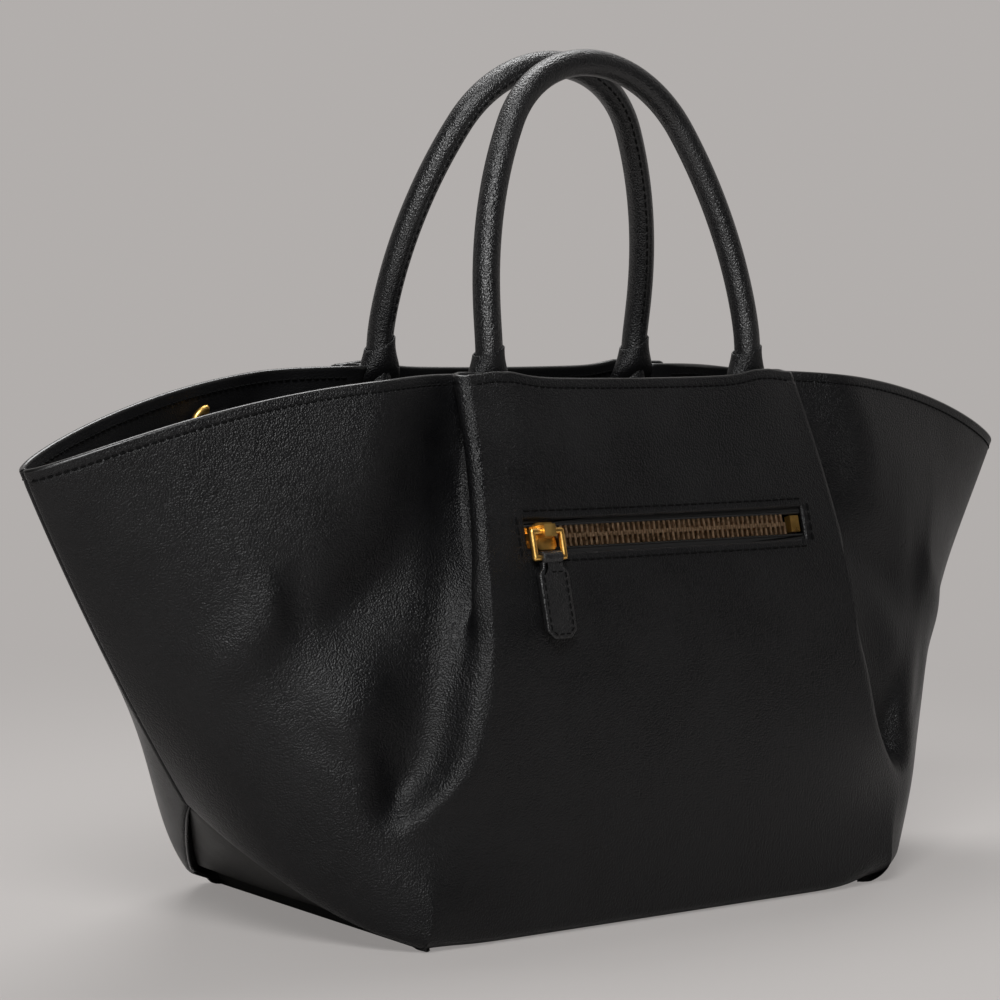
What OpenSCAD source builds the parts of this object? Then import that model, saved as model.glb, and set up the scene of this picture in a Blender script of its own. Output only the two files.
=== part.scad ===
/* [Body] */
// Half of the width across the two wing tips
tip_half = 249; // [235:1:262]
// Height of the wing tips above the ground
tip_h = 175; // [165:1:190]
// Height of the rim at the pleats
rim_h = 210; // [200:1:225]
// How far the rim dips between the pleats
rim_sag = 1.5; // [0:0.5:6]
// How far the middle of the rim bows outward between the pleats
rim_bow = 1.5; // [0:0.1:3]
// Half of the length of the flat base
base_half_l = 121.5; // [115:0.5:127]
// Half of the depth of the flat base
base_half_w = 75; // [70:1:82]
// Distance from the middle to the point of each base gore
gore_half_l = 177; // [170:1:185]
// Height of the point of each base gore
gore_h = 48; // [40:1:52]
// How far the middle panel bellies out between base and rim
panel_bow = 17; // [12:1:20]
// How far a wing bellies out low down
wing_belly = 11; // [6:1:14]
// How far each side seam bows outward
side_bow = 3; // [0:0.5:5]

/* [Rim and pleats] */
// Half of the distance between the two pleats at the rim
pleat_half = 83; // [81:0.5:88]
// Half of the mouth's depth at the pleats
mouth_half = 44; // [42:0.5:48]
// Half of the mouth's depth at the fullest place of the wings
wing_mouth = 46; // [44:1:60]
// Depth of the leather tucked under each pleat
pleat_tuck = 5.5; // [5:0.5:6]
// Radius of the visible roll of each pleat
roll_r = 4; // [3.8:0.1:5]
// Radius of the hidden inner fold of each pleat
tuck_r = 0.8; // [0.7:0.1:1.2]
// Height share of the panel at which a pleat has run out
pleat_stop = 0.2; // [0.16:0.01:0.24]
// Sideways kick of the pleat where it runs out
pleat_kick = 16; // [10:1:18]
// Inward kick of the pleat where it runs out
kick_in = 10; // [6:1:12]
// Depth of the hollow beside each pleat
hollow = 12; // [6:1:14]

/* [Sheet goods] */
// Thickness of the outer leather
leather_t = 1.4; // [1:0.1:1.6]
// Thickness of the leather facing inside the rim
facing_t = 1; // [0.8:0.1:1]
// Thickness of the fabric lining
lining_t = 0.5; // [0.4:0.1:0.6]
// Thickness of the leather of the base
base_t = 2; // [1.6:0.1:3]
// Thickness of the stiffening board in the base
board_t = 1.5; // [1:0.1:2.5]
// Clearance between layers that lie on each other
ply_gap = 0.3; // [0.2:0.05:0.4]

/* [Handles] */
// Half of the distance between the feet of a handle
foot_half = 67; // [62:0.5:67.5]
// Distance of the handle feet from the middle plane
foot_y = 35; // [34.8:0.1:36]
// Height of the line about which a handle folds
hinge_h = 222; // [220:0.5:226]
// Rise of a handle above that line
handle_rise = 113.5; // [105:0.5:125]
// Radius of the crown of a handle
crown_r = 50.5; // [42:0.5:54]
// Radius of the finished handle tube
tube_r = 5.3; // [4.8:0.1:5.4]
// Thickness of the leather around the handle core
cover_t = 1.2; // [1:0.1:1.5]
// Clearance between the core and its cover
core_gap = 0.1; // [0.05:0.05:0.2]
// Lean of the front handle toward the middle
front_lean = 13; // [11:0.1:14]
// Lean of the back handle toward the middle
back_lean = 13; // [11:0.1:14]
// Radius of the leather sleeve under a handle foot
sleeve_r = 5.6; // [5.4:0.1:5.7]
// Length of the tail that holds a handle inside the bag
tail_l = 28; // [20:1:32]
// Width of that tail
tail_w = 15; // [12:1:16]
// Thickness of that tail
tail_t = 3; // [2:0.1:3.5]

/* [Zip pocket] */
// Place of the window along the bag
zip_x = 0; // [-5:0.1:5]
// Height share of the panel at the middle of the window
zip_share = 0.725; // [0.71:0.005:0.735]
// Length of the window
window_l = 143.5; // [125:0.5:145]
// Width of the window
window_w = 13; // [12.6:0.1:14]
// Pitch of the teeth
tooth_pitch = 2.6; // [2.4:0.05:2.8]
// Thickness of one tooth along the zip
tooth_l = 1.1; // [0.9:0.05:1.15]
// Width of the closed chain
chain_w = 8; // [7:0.1:8.4]
// Depth of the teeth
tooth_d = 2.4; // [2:0.1:2.6]
// Thickness of the zip tape
tape_t = 0.8; // [0.6:0.05:1]
// Full width of the zip with both tapes
tape_w = 28; // [26:1:30]
// Length of the slider
slider_l = 11; // [10:0.5:12]
// Width of the slider
slider_w = 10.4; // [10.2:0.1:11]
// Thickness of the slider's front plate
slider_t = 1.6; // [1.2:0.1:2]
// Radius of the wire of the pull's stirrup
wire_r = 1.2; // [1:0.05:1.3]
// Half of the distance between the legs of the stirrup
stirrup_half = 7; // [6.8:0.1:8]
// Drop of the stirrup from its pivot to its lower bar
stirrup_drop = 10; // [9:0.5:13]
// Length of the leather pull below the lower bar
pull_l = 31; // [28:1:36]
// Width of the leather pull
pull_w = 14; // [11:0.5:15]
// Thickness of the leather pull
pull_t = 2.4; // [2:0.1:2.8]
// Depth share of the pocket's bottom
pocket_low = 0.36; // [0.33:0.01:0.42]

/* [Strap rings] */
// Place of a ring tab along the wing
ring_share = 0.42; // [0.36:0.01:0.48]
// Height share of a ring tab
ring_height = 0.93; // [0.92:0.005:0.94]
// Half of the height of a ring between its bends
ring_half = 6.2; // [6:0.1:7]
// Radius of the ring's wire
ring_wire_r = 1.4; // [1.2:0.1:1.6]
// Length of a ring tab
tab_l = 15; // [12:0.5:18]
// Width of a ring tab
tab_w = 6.6; // [6:0.1:7]
// Wall of the loop of a ring tab
tab_wall = 1.1; // [0.9:0.1:1.3]

/* [Hidden] */
$fn = 48;
leather_colour = [0.09, 0.09, 0.095];
base_colour = [0.13, 0.13, 0.13];
lining_colour = [0.2, 0.19, 0.18];
brass_colour = [0.83, 0.62, 0.28];
tape_colour = [0.05, 0.05, 0.05];

// Depths of the layers below the outer face of the leather
facing_d = leather_t + ply_gap;
lining_d = leather_t + 2 * ply_gap;
// The step between the middle panel and the wing that is tucked behind it
pleat_step = 2 * (roll_r + tuck_r);
// The turn of the pleat's folds against the bag's length
pleat_turn = 8;
fold_along = [cos(pleat_turn), sin(pleat_turn), 0];
fold_in = [-sin(pleat_turn), cos(pleat_turn), 0];
// Share of the wing's width over which an opened pleat spreads
spread = 0.06;
// How far up the panel a pleat takes to close, as a share of the height
pleat_run = 0.25;
// Inward bow of the crease in the bag's length
crease_bow = 5;

function mix(a, b, k) = a + (b - a) * k;
function clamp01(x) = max(0, min(1, x));
function ease(a, b, x) = let (k = clamp01((x - a) / (b - a))) k * k * (3 - 2 * k);
function bell(x) = exp(-x * x);
function arc01(x) = 4 * x * (1 - x);
function unit(v) = v / norm(v);
function pleat_open(t) = ease(pleat_stop, pleat_stop + pleat_run, t);

// The line along which the middle panel ends, from base to rim; k is the share of its kick
function crease(t, k) =
    let (g = k * bell((t - pleat_stop) / 0.085))
    [mix(base_half_l, pleat_half, t) - crease_bow * arc01(t) + pleat_kick * g,
     -(mix(base_half_w, mouth_half, t) + panel_bow * arc01(t) - kick_in * g),
     rim_h * t];
// The side seam, from the gore's point to the wing tip
function side(t) = [mix(gore_half_l, tip_half, t) + side_bow * arc01(t), 0, mix(gore_h, tip_h, t)];
// The lower edge of the wing, from the corner of the base to the gore's point
function gore(s) = [mix(base_half_l, gore_half_l, s), -base_half_w * (1 - s), gore_h * pow(s, 1.3)];
// The upper edge of the wing, from the pleat to the wing tip
function wing_rim(s) =
    let (tuck = (wing_mouth - mouth_half) * (1 - ease(0, 0.16, s)))
    [mix(pleat_half, tip_half, s), tuck - wing_mouth * sqrt(1 - s), mix(rim_h, tip_h, s * s)];
// The wing's surface between those four edges, with its belly, its step and its hollow
function wing(s, t) =
    let (plain = (1 - s) * crease(t, 0) + s * side(t) + (1 - t) * gore(s) + t * wing_rim(s)
            - (1 - s) * (1 - t) * gore(0) - s * (1 - t) * gore(1)
            - (1 - s) * t * crease(1, 0) - s * t * side(1),
        kick = (1 - ease(0, 0.5, s)) * (crease(t, 1) - crease(t, 0)),
        full = wing_belly * arc01(s) * sin(180 * pow(t, 0.42)),
        step_in = pleat_step * pleat_open(t) * (1 - ease(0, 0.3, s)),
        dent = hollow * bell((s - 0.1) / 0.09) * pleat_open(t) * (1 - 0.6 * ease(0.8, 1, t)))
    plain + kick + full * [0.75, -0.6, -0.25] + step_in * fold_in + dent * [0.2, 0.95, 0];
// The middle panel; a runs from 0 in the middle to 1 at the crease
function middle(a, t) =
    let (c = crease(t, 1), flat_y = crease(t, 0)[1] - rim_bow * t * t * (1 - pow(a, 8)))
    [a * c[0], mix(flat_y, c[1], pow(a, 4)), t * (rim_h - rim_sag * (1 - a * a))];
// The pleat's section: steps along the bag and into it, from the middle panel to the wing
fold_path = [[0, 0], [0.7 * roll_r, 0.3 * roll_r], [roll_r, roll_r], [0.7 * roll_r, 1.7 * roll_r],
    [0, 2 * roll_r], [-pleat_tuck, 2 * roll_r], [-pleat_tuck - tuck_r, 2 * roll_r + tuck_r],
    [-pleat_tuck, pleat_step], [0, pleat_step]];
fold_n = len(fold_path) - 1;
function fold(i, t) =
    let (p = fold_path[i])
    mix(wing(spread * i / fold_n, t), crease(t, 1) + p[0] * fold_along + p[1] * fold_in, pleat_open(t));

// Columns of a panel from the middle outward: what they belong to, and where in it they lie
half_cols = concat([for (a = [0.3, 0.55, 0.75, 0.88, 1]) [0, a]], [for (i = [1:fold_n]) [1, i]],
    [for (s = [0.12, 0.18, 0.25, 0.35, 0.47, 0.6, 0.72, 0.82, 0.9, 0.96, 1]) [2, s]]);
// A point of a whole front sheet, mirrored from the columns of its half
function across(cols, j) = j == len(cols) ? [0, 0] : cols[abs(j - len(cols)) - 1];
function mirrored(q, j, half) = [j < half ? -q[0] : q[0], q[1], q[2]];
// Rows of a panel from base to rim
rows = [0, 0.05, 0.1, 0.15, 0.2, 0.25, 0.3, 0.36, 0.43, 0.52, 0.62, 0.72, 0.8, 0.82, 0.91, 1];
last_row = len(rows) - 1;
lining_top = last_row - 3;
facing_low = last_row - 2;
// The panel stands on the base's inner face, so its lowest row is lifted by the base's thickness
function lift(c, t) = (base_t * (1 + (c[0] == 2 ? 0.4 * c[1] : 0)) + ply_gap) * (1 - ease(0, 0.2, t));
function quarter_pt(c, t) =
    (c[0] == 0 ? middle(c[1], t) : c[0] == 1 ? fold(c[1], t) : wing(c[1], t)) + [0, 0, lift(c, t)];
half_n = len(half_cols);
outer = [for (t = rows) [for (j = [0:2 * half_n]) mirrored(quarter_pt(across(half_cols, j), t), j, half_n)]];
// The lining passes straight behind the pleats, and in front it stands off behind the zip pocket
lining_cols = concat([for (c = half_cols) if (c[0] == 0) c], [[2, 0.02], [2, 0.04], [2, 0.06], [2, 0.09]],
    [for (c = half_cols) if (c[0] == 2) c]);
lining_n = len(lining_cols);
pocket_room = 5;
function lining_pt(c, t, room) =
    let (q = quarter_pt(c, t), swing = ease(0.75, 0.88, c[1]), open = pleat_open(t),
        half_open = 1.3 * pleat_step * open * (1 - open) * fold_in)
    c[0] == 2 ? q + (1 - ease(0.06, 0.25, c[1])) * half_open
    : q + swing * (wing(0, t) - middle(1, t) + half_open) + [0, room * (1 - swing), 0];
function lining_grid(room) = [for (t = rows) [for (j = [0:2 * lining_n])
    mirrored(lining_pt(across(lining_cols, j), t, room), j, lining_n)]];
function inward(g, i, j) =
    let (down = max(i - 1, 0), up = min(i + 1, len(g) - 1), left = max(j - 1, 0),
        right = min(j + 1, len(g[0]) - 1))
    unit(cross(g[up][j] - g[down][j], g[i][right] - g[i][left]));
function normals_of(g) = [for (i = [0:len(g) - 1]) [for (j = [0:len(g[0]) - 1]) inward(g, i, j)]];
normals = normals_of(outer);
// The front and back sheets meet at the side seams, each half a clearance short of the other
seam_y = -ply_gap / 2;
function seam_side(p) = [p[0], min(p[1], seam_y), p[2]];

// Points and faces of a sheet made from two grids of the same size
function grid_faces(n, m, flip) = [for (i = [0:n - 2]) for (j = [0:m - 2])
    let (a = i * m + j, b = a + 1, c = a + m + 1, d = a + m)
    each flip ? [[a, c, b], [a, d, c]] : [[a, b, c], [a, c, d]]];
function shifted(faces, k) = [for (f = faces) [for (v = f) v + k]];
function edge_ring(n, m) = concat([for (j = [0:m - 2]) j], [for (i = [0:n - 2]) i * m + m - 1],
    [for (j = [m - 1:-1:1]) (n - 1) * m + j], [for (i = [n - 1:-1:1]) i * m]);
function wall_faces(n, m) =
    let (ring = edge_ring(n, m), k = n * m, e = len(ring))
    [for (i = [0:e - 1]) let (a = ring[i], b = ring[(i + 1) % e]) each [[a, b + k, a + k], [a, b, b + k]]];
module sheet_between(near, far) {
    n = len(near);
    m = len(near[0]);
    polyhedron(points = concat([for (r = near) each r], [for (r = far) each r]),
        faces = concat(grid_faces(n, m, true), shifted(grid_faces(n, m, false), n * m), wall_faces(n, m)));
}
// A layer on the inner side of a grid, from row low to row high, between two depths
module layer(grid, inner, low, high, depth, thick) {
    last = len(grid[0]) - 1;
    function at(i, j, d) = seam_side(grid[i][j] + inner[i][j] * d);
    sheet_between([for (i = [low:high]) [for (j = [0:last]) at(i, j, depth)]],
        [for (i = [low:high]) [for (j = [0:last]) at(i, j, depth + thick)]]);
}
module to_back() {
    mirror([0, 1, 0]) children();
}

// Frame of the zip: its X runs along the zip, its Y into the bag from the outer face of the leather
zip_low = middle(0, zip_share - 0.01);
zip_high = middle(0, zip_share + 0.01);
zip_tilt = atan2(zip_high[1] - zip_low[1], zip_high[2] - zip_low[2]);
zip_mid = middle(0, zip_share);
module zip_frame() {
    translate([zip_x, zip_mid[1], zip_mid[2]]) rotate([-zip_tilt, 0, 0]) children();
}
// The tape lies flat behind the panel, which curves toward it at the ends
tape_y = leather_t + 2.5 * ply_gap;
tooth_y = tape_y + tape_t / 2 - tooth_d / 2;
slider_gap = 0.25;
plate_y = tooth_y - slider_gap - slider_t;
block_l = 4.6;
block_x = window_l / 2 - block_l / 2 - 2;
stop_l = 1.2;
slider_x = -window_l / 2 + stop_l + slider_l / 2 + 1;
tooth_first = slider_x + 2;
tooth_n = floor((block_x - block_l / 2 - 0.4 - tooth_first) / tooth_pitch);
slider_travel = block_x - block_l / 2 - slider_l / 2 - 0.5 - slider_x;
pivot_y = plate_y - wire_r - 0.7;
pivot_z = 1.5;
bar_z = pivot_z - stirrup_drop;
bridge_wall = 1.1;
turn_gap = 0.15;

module front_panel() {
    color(leather_colour) difference() {
        layer(outer, normals, 0, last_row, 0, leather_t);
        zip_frame() translate([-window_l / 2, -leather_t * 2, -window_w / 2])
            cube([window_l, leather_t * 5, window_w]);
    }
}
module back_panel() {
    color(leather_colour) to_back() layer(outer, normals, 0, last_row, 0, leather_t);
}
module front_facing() {
    color(leather_colour) layer(outer, normals, facing_low, last_row, facing_d, facing_t);
}
module back_facing() {
    color(leather_colour) to_back() layer(outer, normals, facing_low, last_row, facing_d, facing_t);
}
module lining(room) {
    grid = lining_grid(room);
    color(lining_colour) layer(grid, normals_of(grid), 1, lining_top, lining_d, lining_t);
}
module front_lining() {
    lining(pocket_room);
}
module back_lining() {
    to_back() lining(0);
}

// One end of the base: strips that narrow to the gore's point and rise toward it
gore_steps = 8;
function gore_row(i, up) =
    let (s = i / gore_steps, p = gore(s), q = gore(s + 0.01), w = max(-p[1], 0.6),
        n = unit([p[2] - q[2], 0, q[0] - p[0]]) * up)
    [[p[0] + n[0], -w, p[2] + n[2]], [p[0] + n[0], w, p[2] + n[2]]];
module base_end() {
    sheet_between([for (i = [0:gore_steps]) gore_row(i, 0)], [for (i = [0:gore_steps]) gore_row(i, base_t)]);
}
module base_panel() {
    color(base_colour) union() {
        translate([-base_half_l, -base_half_w, 0]) cube([2 * base_half_l, 2 * base_half_w, base_t]);
        base_end();
        mirror([1, 0, 0]) base_end();
    }
}
board_inset = leather_t + lining_t + 3;
board_z = base_t + ply_gap;
module base_board() {
    color([0.4, 0.36, 0.3]) translate([board_inset - base_half_l, board_inset - base_half_w, board_z])
        cube([2 * (base_half_l - board_inset), 2 * (base_half_w - board_inset), board_t]);
}
lining_inset = board_inset + 3;
module base_lining() {
    color(lining_colour)
        translate([lining_inset - base_half_l, lining_inset - base_half_w, board_z + board_t + ply_gap])
        cube([2 * (base_half_l - lining_inset), 2 * (base_half_w - lining_inset), lining_t]);
}
// The bound edges of the side seam: a fin that stands inward along it
binding_w = 7;
binding_t = 1.2;
binding_in = facing_d + facing_t + 1.6;
binding_steps = 8;
function binding_row(i, y) =
    let (p = side(mix(0.08, 1, i / binding_steps)))
    [[p[0] - binding_in - binding_w, y, p[2]], [p[0] - binding_in, y, p[2]]];
module seam_binding() {
    color(lining_colour) sheet_between([for (i = [0:binding_steps]) binding_row(i, -binding_t / 2)],
        [for (i = [0:binding_steps]) binding_row(i, binding_t / 2)]);
}
module right_seam_binding() {
    seam_binding();
}
module left_seam_binding() {
    mirror([1, 0, 0]) seam_binding();
}

// A handle is a three-centred arch: two long side arcs and a crown that meets them smoothly
side_r = (foot_half * foot_half + pow(handle_rise - crown_r, 2) - crown_r * crown_r)
    / (2 * (foot_half - crown_r));
side_turn = atan2(handle_rise - crown_r, side_r - foot_half);
// Its stations hold the centre of the arc, its radius and the angle along it
side_steps = 8;
crown_steps = 14;
stations = concat(
    [for (i = [0:side_steps]) [foot_half - side_r, 0, side_r, side_turn * i / side_steps]],
    [for (i = [1:crown_steps - 1])
        [0, handle_rise - crown_r, crown_r, mix(side_turn, 180 - side_turn, i / crown_steps)]],
    [for (i = [0:side_steps]) [side_r - foot_half, 0, side_r, 180 - side_turn * (1 - i / side_steps)]]);
tube_sides = 12;
function station_ring(q, r) = [for (k = [0:tube_sides - 1])
    let (a = 360 * k / tube_sides, reach = q[2] + r * cos(a))
    [q[0] + reach * cos(q[3]), r * sin(a), q[1] + reach * sin(q[3])]];
// A foot runs on below the hinge line through rings that each have a radius and a depth
function foot_ring(way, r, down) = [for (k = [0:tube_sides - 1])
    let (a = 360 * k / tube_sides) [way * (foot_half + r * cos(a)), r * sin(a), -down]];
function tube_points(r, foot) =
    let (last = len(foot) - 1)
    concat([for (i = [last:-1:0]) each foot_ring(1, foot[i][0], foot[i][1])],
        [for (q = stations) each station_ring(q, r)],
        [for (i = [0:last]) each foot_ring(-1, foot[i][0], foot[i][1])]);
// Faces of a skin of rings, joined round; from is the number of its first point
function skin_faces(n, m, from, flip) = [for (i = [0:n - 2]) for (j = [0:m - 1])
    let (a = from + i * m + j, b = from + i * m + (j + 1) % m, c = b + m, d = a + m)
    each flip ? [[a, c, b], [a, d, c]] : [[a, b, c], [a, c, d]]];
function end_faces(at, inner_at, m, flip) = [for (j = [0:m - 1])
    let (a = at + j, b = at + (j + 1) % m, c = inner_at + (j + 1) % m, d = inner_at + j)
    each flip ? [[a, c, b], [a, d, c]] : [[a, b, c], [a, c, d]]];
// Both feet end inside a ball about the hinge line, so they turn just above the sleeves
bore_r = tube_r - cover_t;
core_r = bore_r - core_gap;
cover_turns = [18, 34];
core_turns = [0, 30, 60, 80];
module handle_cover() {
    n = len(stations) + 2 * len(cover_turns);
    total = n * tube_sides;
    last = total - tube_sides;
    color(leather_colour) polyhedron(
        points = concat(tube_points(tube_r, [for (a = cover_turns) [tube_r * cos(a), tube_r * sin(a)]]),
            tube_points(bore_r, [for (a = cover_turns) [bore_r, tube_r * sin(a)]])),
        faces = concat(skin_faces(n, tube_sides, 0, true), skin_faces(n, tube_sides, total, false),
            end_faces(0, total, tube_sides, false), end_faces(last, total + last, tube_sides, true)));
}
module handle_core() {
    n = len(stations) + 2 * len(core_turns);
    last = (n - 1) * tube_sides;
    foot = [for (a = core_turns) [core_r * cos(a), tube_r - core_r + core_r * sin(a)]];
    color([0.75, 0.7, 0.6]) polyhedron(points = tube_points(core_r, foot),
        faces = concat(skin_faces(n, tube_sides, 0, true), [[for (j = [0:tube_sides - 1]) j]],
            [[for (j = [tube_sides - 1:-1:0]) last + j]]));
}
module front_handle() {
    translate([0, -foot_y, hinge_h]) rotate([-front_lean, 0, 0]) children();
}
module back_handle() {
    translate([0, foot_y, hinge_h]) rotate([back_lean, 0, 0]) children();
}
module front_handle_cover() {
    front_handle() handle_cover();
}
module front_handle_core() {
    front_handle() handle_core();
}
module back_handle_cover() {
    back_handle() handle_cover();
}
module back_handle_core() {
    back_handle() handle_core();
}
// Under each handle foot a leather sleeve runs down over the rim into a flat tail on the facing
sleeve_top = hinge_h - tube_r - ply_gap;
sleeve_low = rim_h - 3;
tail_z = sleeve_low - tail_l;
tail_face = middle(0.85, tail_z / rim_h)[1] + (facing_d + facing_t + ply_gap) * 1.3;
module anchor() {
    color(leather_colour) union() {
        translate([foot_half, -foot_y, sleeve_low])
            cylinder(r = sleeve_r, h = sleeve_top - sleeve_low);
        hull($fn = 24) {
            translate([foot_half, -foot_y, sleeve_low]) cylinder(r = sleeve_r, h = 1, $fn = 24);
            translate([foot_half + sleeve_r - tail_w - 1, tail_face, tail_z]) cube([tail_w, tail_t, 1]);
        }
    }
}
module front_right_anchor() {
    anchor();
}
module front_left_anchor() {
    mirror([1, 0, 0]) anchor();
}
module back_right_anchor() {
    to_back() anchor();
}
module back_left_anchor() {
    rotate([0, 0, 180]) anchor();
}

// The zip: two tapes that run on past the window, two rows of teeth, stops, slider and pull
tape_over = 4;
tape_l = window_l + 2 * tape_over;
tape_edge = chain_w / 2 + 0.1;
module zip_tape(way) {
    color(tape_colour) zip_frame()
        translate([-tape_l / 2, tape_y, way > 0 ? tape_edge : -tape_w / 2])
        cube([tape_l, tape_t, tape_w / 2 - tape_edge]);
}
module zip_tape_upper() {
    zip_tape(1);
}
module zip_tape_lower() {
    zip_tape(-1);
}
tooth_over = 0.8;
module tooth_row(way, shift) {
    color(brass_colour) zip_frame() for (i = [0:tooth_n - 1])
        translate([tooth_first + (i + shift) * tooth_pitch, tooth_y, way > 0 ? -tooth_over : -chain_w / 2])
        cube([tooth_l, tooth_d, chain_w / 2 + tooth_over]);
}
module zip_teeth_upper() {
    tooth_row(1, 0);
}
module zip_teeth_lower() {
    tooth_row(-1, 0.5);
}
block_w = 6.6;
module zip_end_block() {
    color(brass_colour) zip_frame()
        translate([block_x - block_l / 2, tooth_y - 0.4, -block_w / 2])
        cube([block_l, tooth_d + 0.8, block_w]);
}
stop_w = 2.6;
module zip_top_stops() {
    color(brass_colour) zip_frame() for (way = [-1, 1])
        translate([-window_l / 2 + 0.3, tooth_y, way * (chain_w / 2 - stop_w / 2) - stop_w / 2])
        cube([stop_l, tooth_d, stop_w]);
}
module slider_outline() {
    nose = slider_l * 0.28;
    polygon([[-slider_l / 2, -slider_w * 0.36], [-slider_l / 2 + nose, -slider_w / 2],
        [slider_l / 2 - 1, -slider_w / 2], [slider_l / 2, -slider_w / 2 + 1],
        [slider_l / 2, slider_w / 2 - 1], [slider_l / 2 - 1, slider_w / 2],
        [-slider_l / 2 + nose, slider_w / 2], [-slider_l / 2, slider_w * 0.36]]);
}
lip_t = 0.7;
module slider_lips(y, depth) {
    for (way = [-1, 1])
        translate([-slider_l * 0.2, y, way * (slider_w / 2 - lip_t / 2) - lip_t / 2])
        cube([slider_l * 0.6, depth, lip_t]);
}
module zip_slider() {
    bridge_l = slider_l * 0.5;
    bridge_w = 2 * (wire_r + turn_gap + bridge_wall);
    color(brass_colour) zip_frame() translate([slider_x, 0, 0]) difference() {
        union() {
            translate([0, plate_y + slider_t, 0]) rotate([90, 0, 0])
                linear_extrude(slider_t) slider_outline();
            slider_lips(plate_y + slider_t - 0.2, tape_y - plate_y - slider_t);
            translate([-bridge_l / 2, pivot_y - bridge_w / 2, pivot_z - bridge_w / 2])
                cube([bridge_l, plate_y - pivot_y + bridge_w / 2 + 0.2, bridge_w]);
        }
        translate([-slider_l, pivot_y, pivot_z]) rotate([0, 90, 0])
            cylinder(r = wire_r + turn_gap, h = 2 * slider_l);
    }
}
back_y = tooth_y + tooth_d + slider_gap;
back_t = 0.9;
module zip_slider_back() {
    color(brass_colour) zip_frame() translate([slider_x, back_y + back_t, 0]) rotate([90, 0, 0])
        linear_extrude(back_t) slider_outline();
}
module rod_between(a, b, r) {
    v = b - a;
    translate(a) rotate([0, acos(v[2] / norm(v)), atan2(v[1], v[0])]) cylinder(r = r, h = norm(v));
}
module zip_stirrup() {
    corners = [[-stirrup_half, 0, 0], [stirrup_half, 0, 0], [stirrup_half, 0, -stirrup_drop],
        [-stirrup_half, 0, -stirrup_drop]];
    color(brass_colour) zip_frame() translate([slider_x, pivot_y, pivot_z]) union() {
        for (i = [0:3]) {
            rod_between(corners[i], corners[(i + 1) % 4], wire_r);
            translate(corners[i]) sphere(r = wire_r);
        }
    }
}
pull_neck = 2 * (stirrup_half - wire_r) - 2;
shoulder = 6;
module zip_pull() {
    loop_r = wire_r + turn_gap + pull_t / 2;
    cut = pull_w * 0.22;
    outline = [[-pull_neck / 2, 0], [-pull_neck / 2, 2 - shoulder], [-pull_w / 2, -shoulder],
        [-pull_w / 2, cut - pull_l], [cut - pull_w / 2, -pull_l], [pull_w / 2 - cut, -pull_l],
        [pull_w / 2, cut - pull_l], [pull_w / 2, -shoulder], [pull_neck / 2, 2 - shoulder],
        [pull_neck / 2, 0]];
    color(leather_colour) zip_frame() translate([slider_x, pivot_y, bar_z]) difference() {
        union() {
            translate([0, pull_t / 2, 0]) rotate([90, 0, 0]) linear_extrude(pull_t) polygon(outline);
            translate([-pull_neck / 2, 0, 0]) rotate([0, 90, 0]) cylinder(r = loop_r, h = pull_neck);
        }
        translate([-pull_w, 0, 0]) rotate([0, 90, 0]) cylinder(r = wire_r + turn_gap, h = 2 * pull_w);
    }
}
// The pocket: one length of lining folded at the bottom, below the lower tape and up behind the zip
pocket_front_d = tape_y + tape_t + ply_gap + lining_t;
pocket_back_d = back_y + back_t + ply_gap;
pocket_half = 0.8;
pocket_rows = [[zip_share - 0.055, pocket_front_d], [0.58, pocket_front_d], [0.5, pocket_front_d],
    [pocket_low + 0.04, pocket_front_d], [pocket_low + 0.01, mix(pocket_front_d, pocket_back_d, 0.2)],
    [pocket_low, mix(pocket_front_d, pocket_back_d, 0.5)],
    [pocket_low + 0.01, mix(pocket_front_d, pocket_back_d, 0.8)], [pocket_low + 0.04, pocket_back_d],
    [0.5, pocket_back_d], [0.58, pocket_back_d], [0.68, pocket_back_d], [zip_share + 0.07, pocket_back_d]];
pocket_cols = [-pocket_half, -0.5, -0.2, 0.2, 0.5, pocket_half];
function middle_in(a, t, d) =
    let (u = abs(a), p = middle(u, t), up = middle(u, t + 0.01) - middle(u, t - 0.01),
        n = unit([0, up[2], -up[1]]))
    [sign(a) * p[0], p[1] + n[1] * d, p[2] + n[2] * d];
module pocket_bag() {
    mid = [for (r = pocket_rows) [for (a = pocket_cols) middle_in(a, r[0], r[1])]];
    n = len(mid) - 1;
    color(lining_colour) sheet_between(mid, [for (i = [0:n]) [for (j = [0:len(pocket_cols) - 1])
        mid[i][j] + inward(mid, i, j) * lining_t]]);
}

// Frame of a ring tab on the inner face of the facing: X toward the wing tip, Y into the bag
ring_at = wing(ring_share, ring_height);
ring_up = unit(wing(ring_share, ring_height + 0.02) - wing(ring_share, ring_height - 0.02));
ring_out = unit(wing(ring_share + 0.02, ring_height) - wing(ring_share - 0.02, ring_height));
ring_y = unit(cross(ring_up, ring_out));
ring_z = cross(ring_out, ring_y);
wall_d = facing_d + facing_t + 2.5 * ply_gap;
loop_in = ring_wire_r + 0.3;
loop_y = wall_d + loop_in + tab_wall;
module ring_frame() {
    multmatrix([[ring_out[0], ring_y[0], ring_z[0], ring_at[0]],
        [ring_out[1], ring_y[1], ring_z[1], ring_at[1]],
        [ring_out[2], ring_y[2], ring_z[2], ring_at[2]], [0, 0, 0, 1]]) children();
}
module ring_tab() {
    color(leather_colour) ring_frame() difference() {
        union() {
            translate([-tab_l, wall_d, -tab_w / 2]) cube([tab_l, 2 * tab_wall, tab_w]);
            translate([0, loop_y, -tab_w / 2]) cylinder(r = loop_in + tab_wall, h = tab_w);
        }
        translate([0, loop_y, -tab_w]) cylinder(r = loop_in, h = 2 * tab_w);
    }
}
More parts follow.
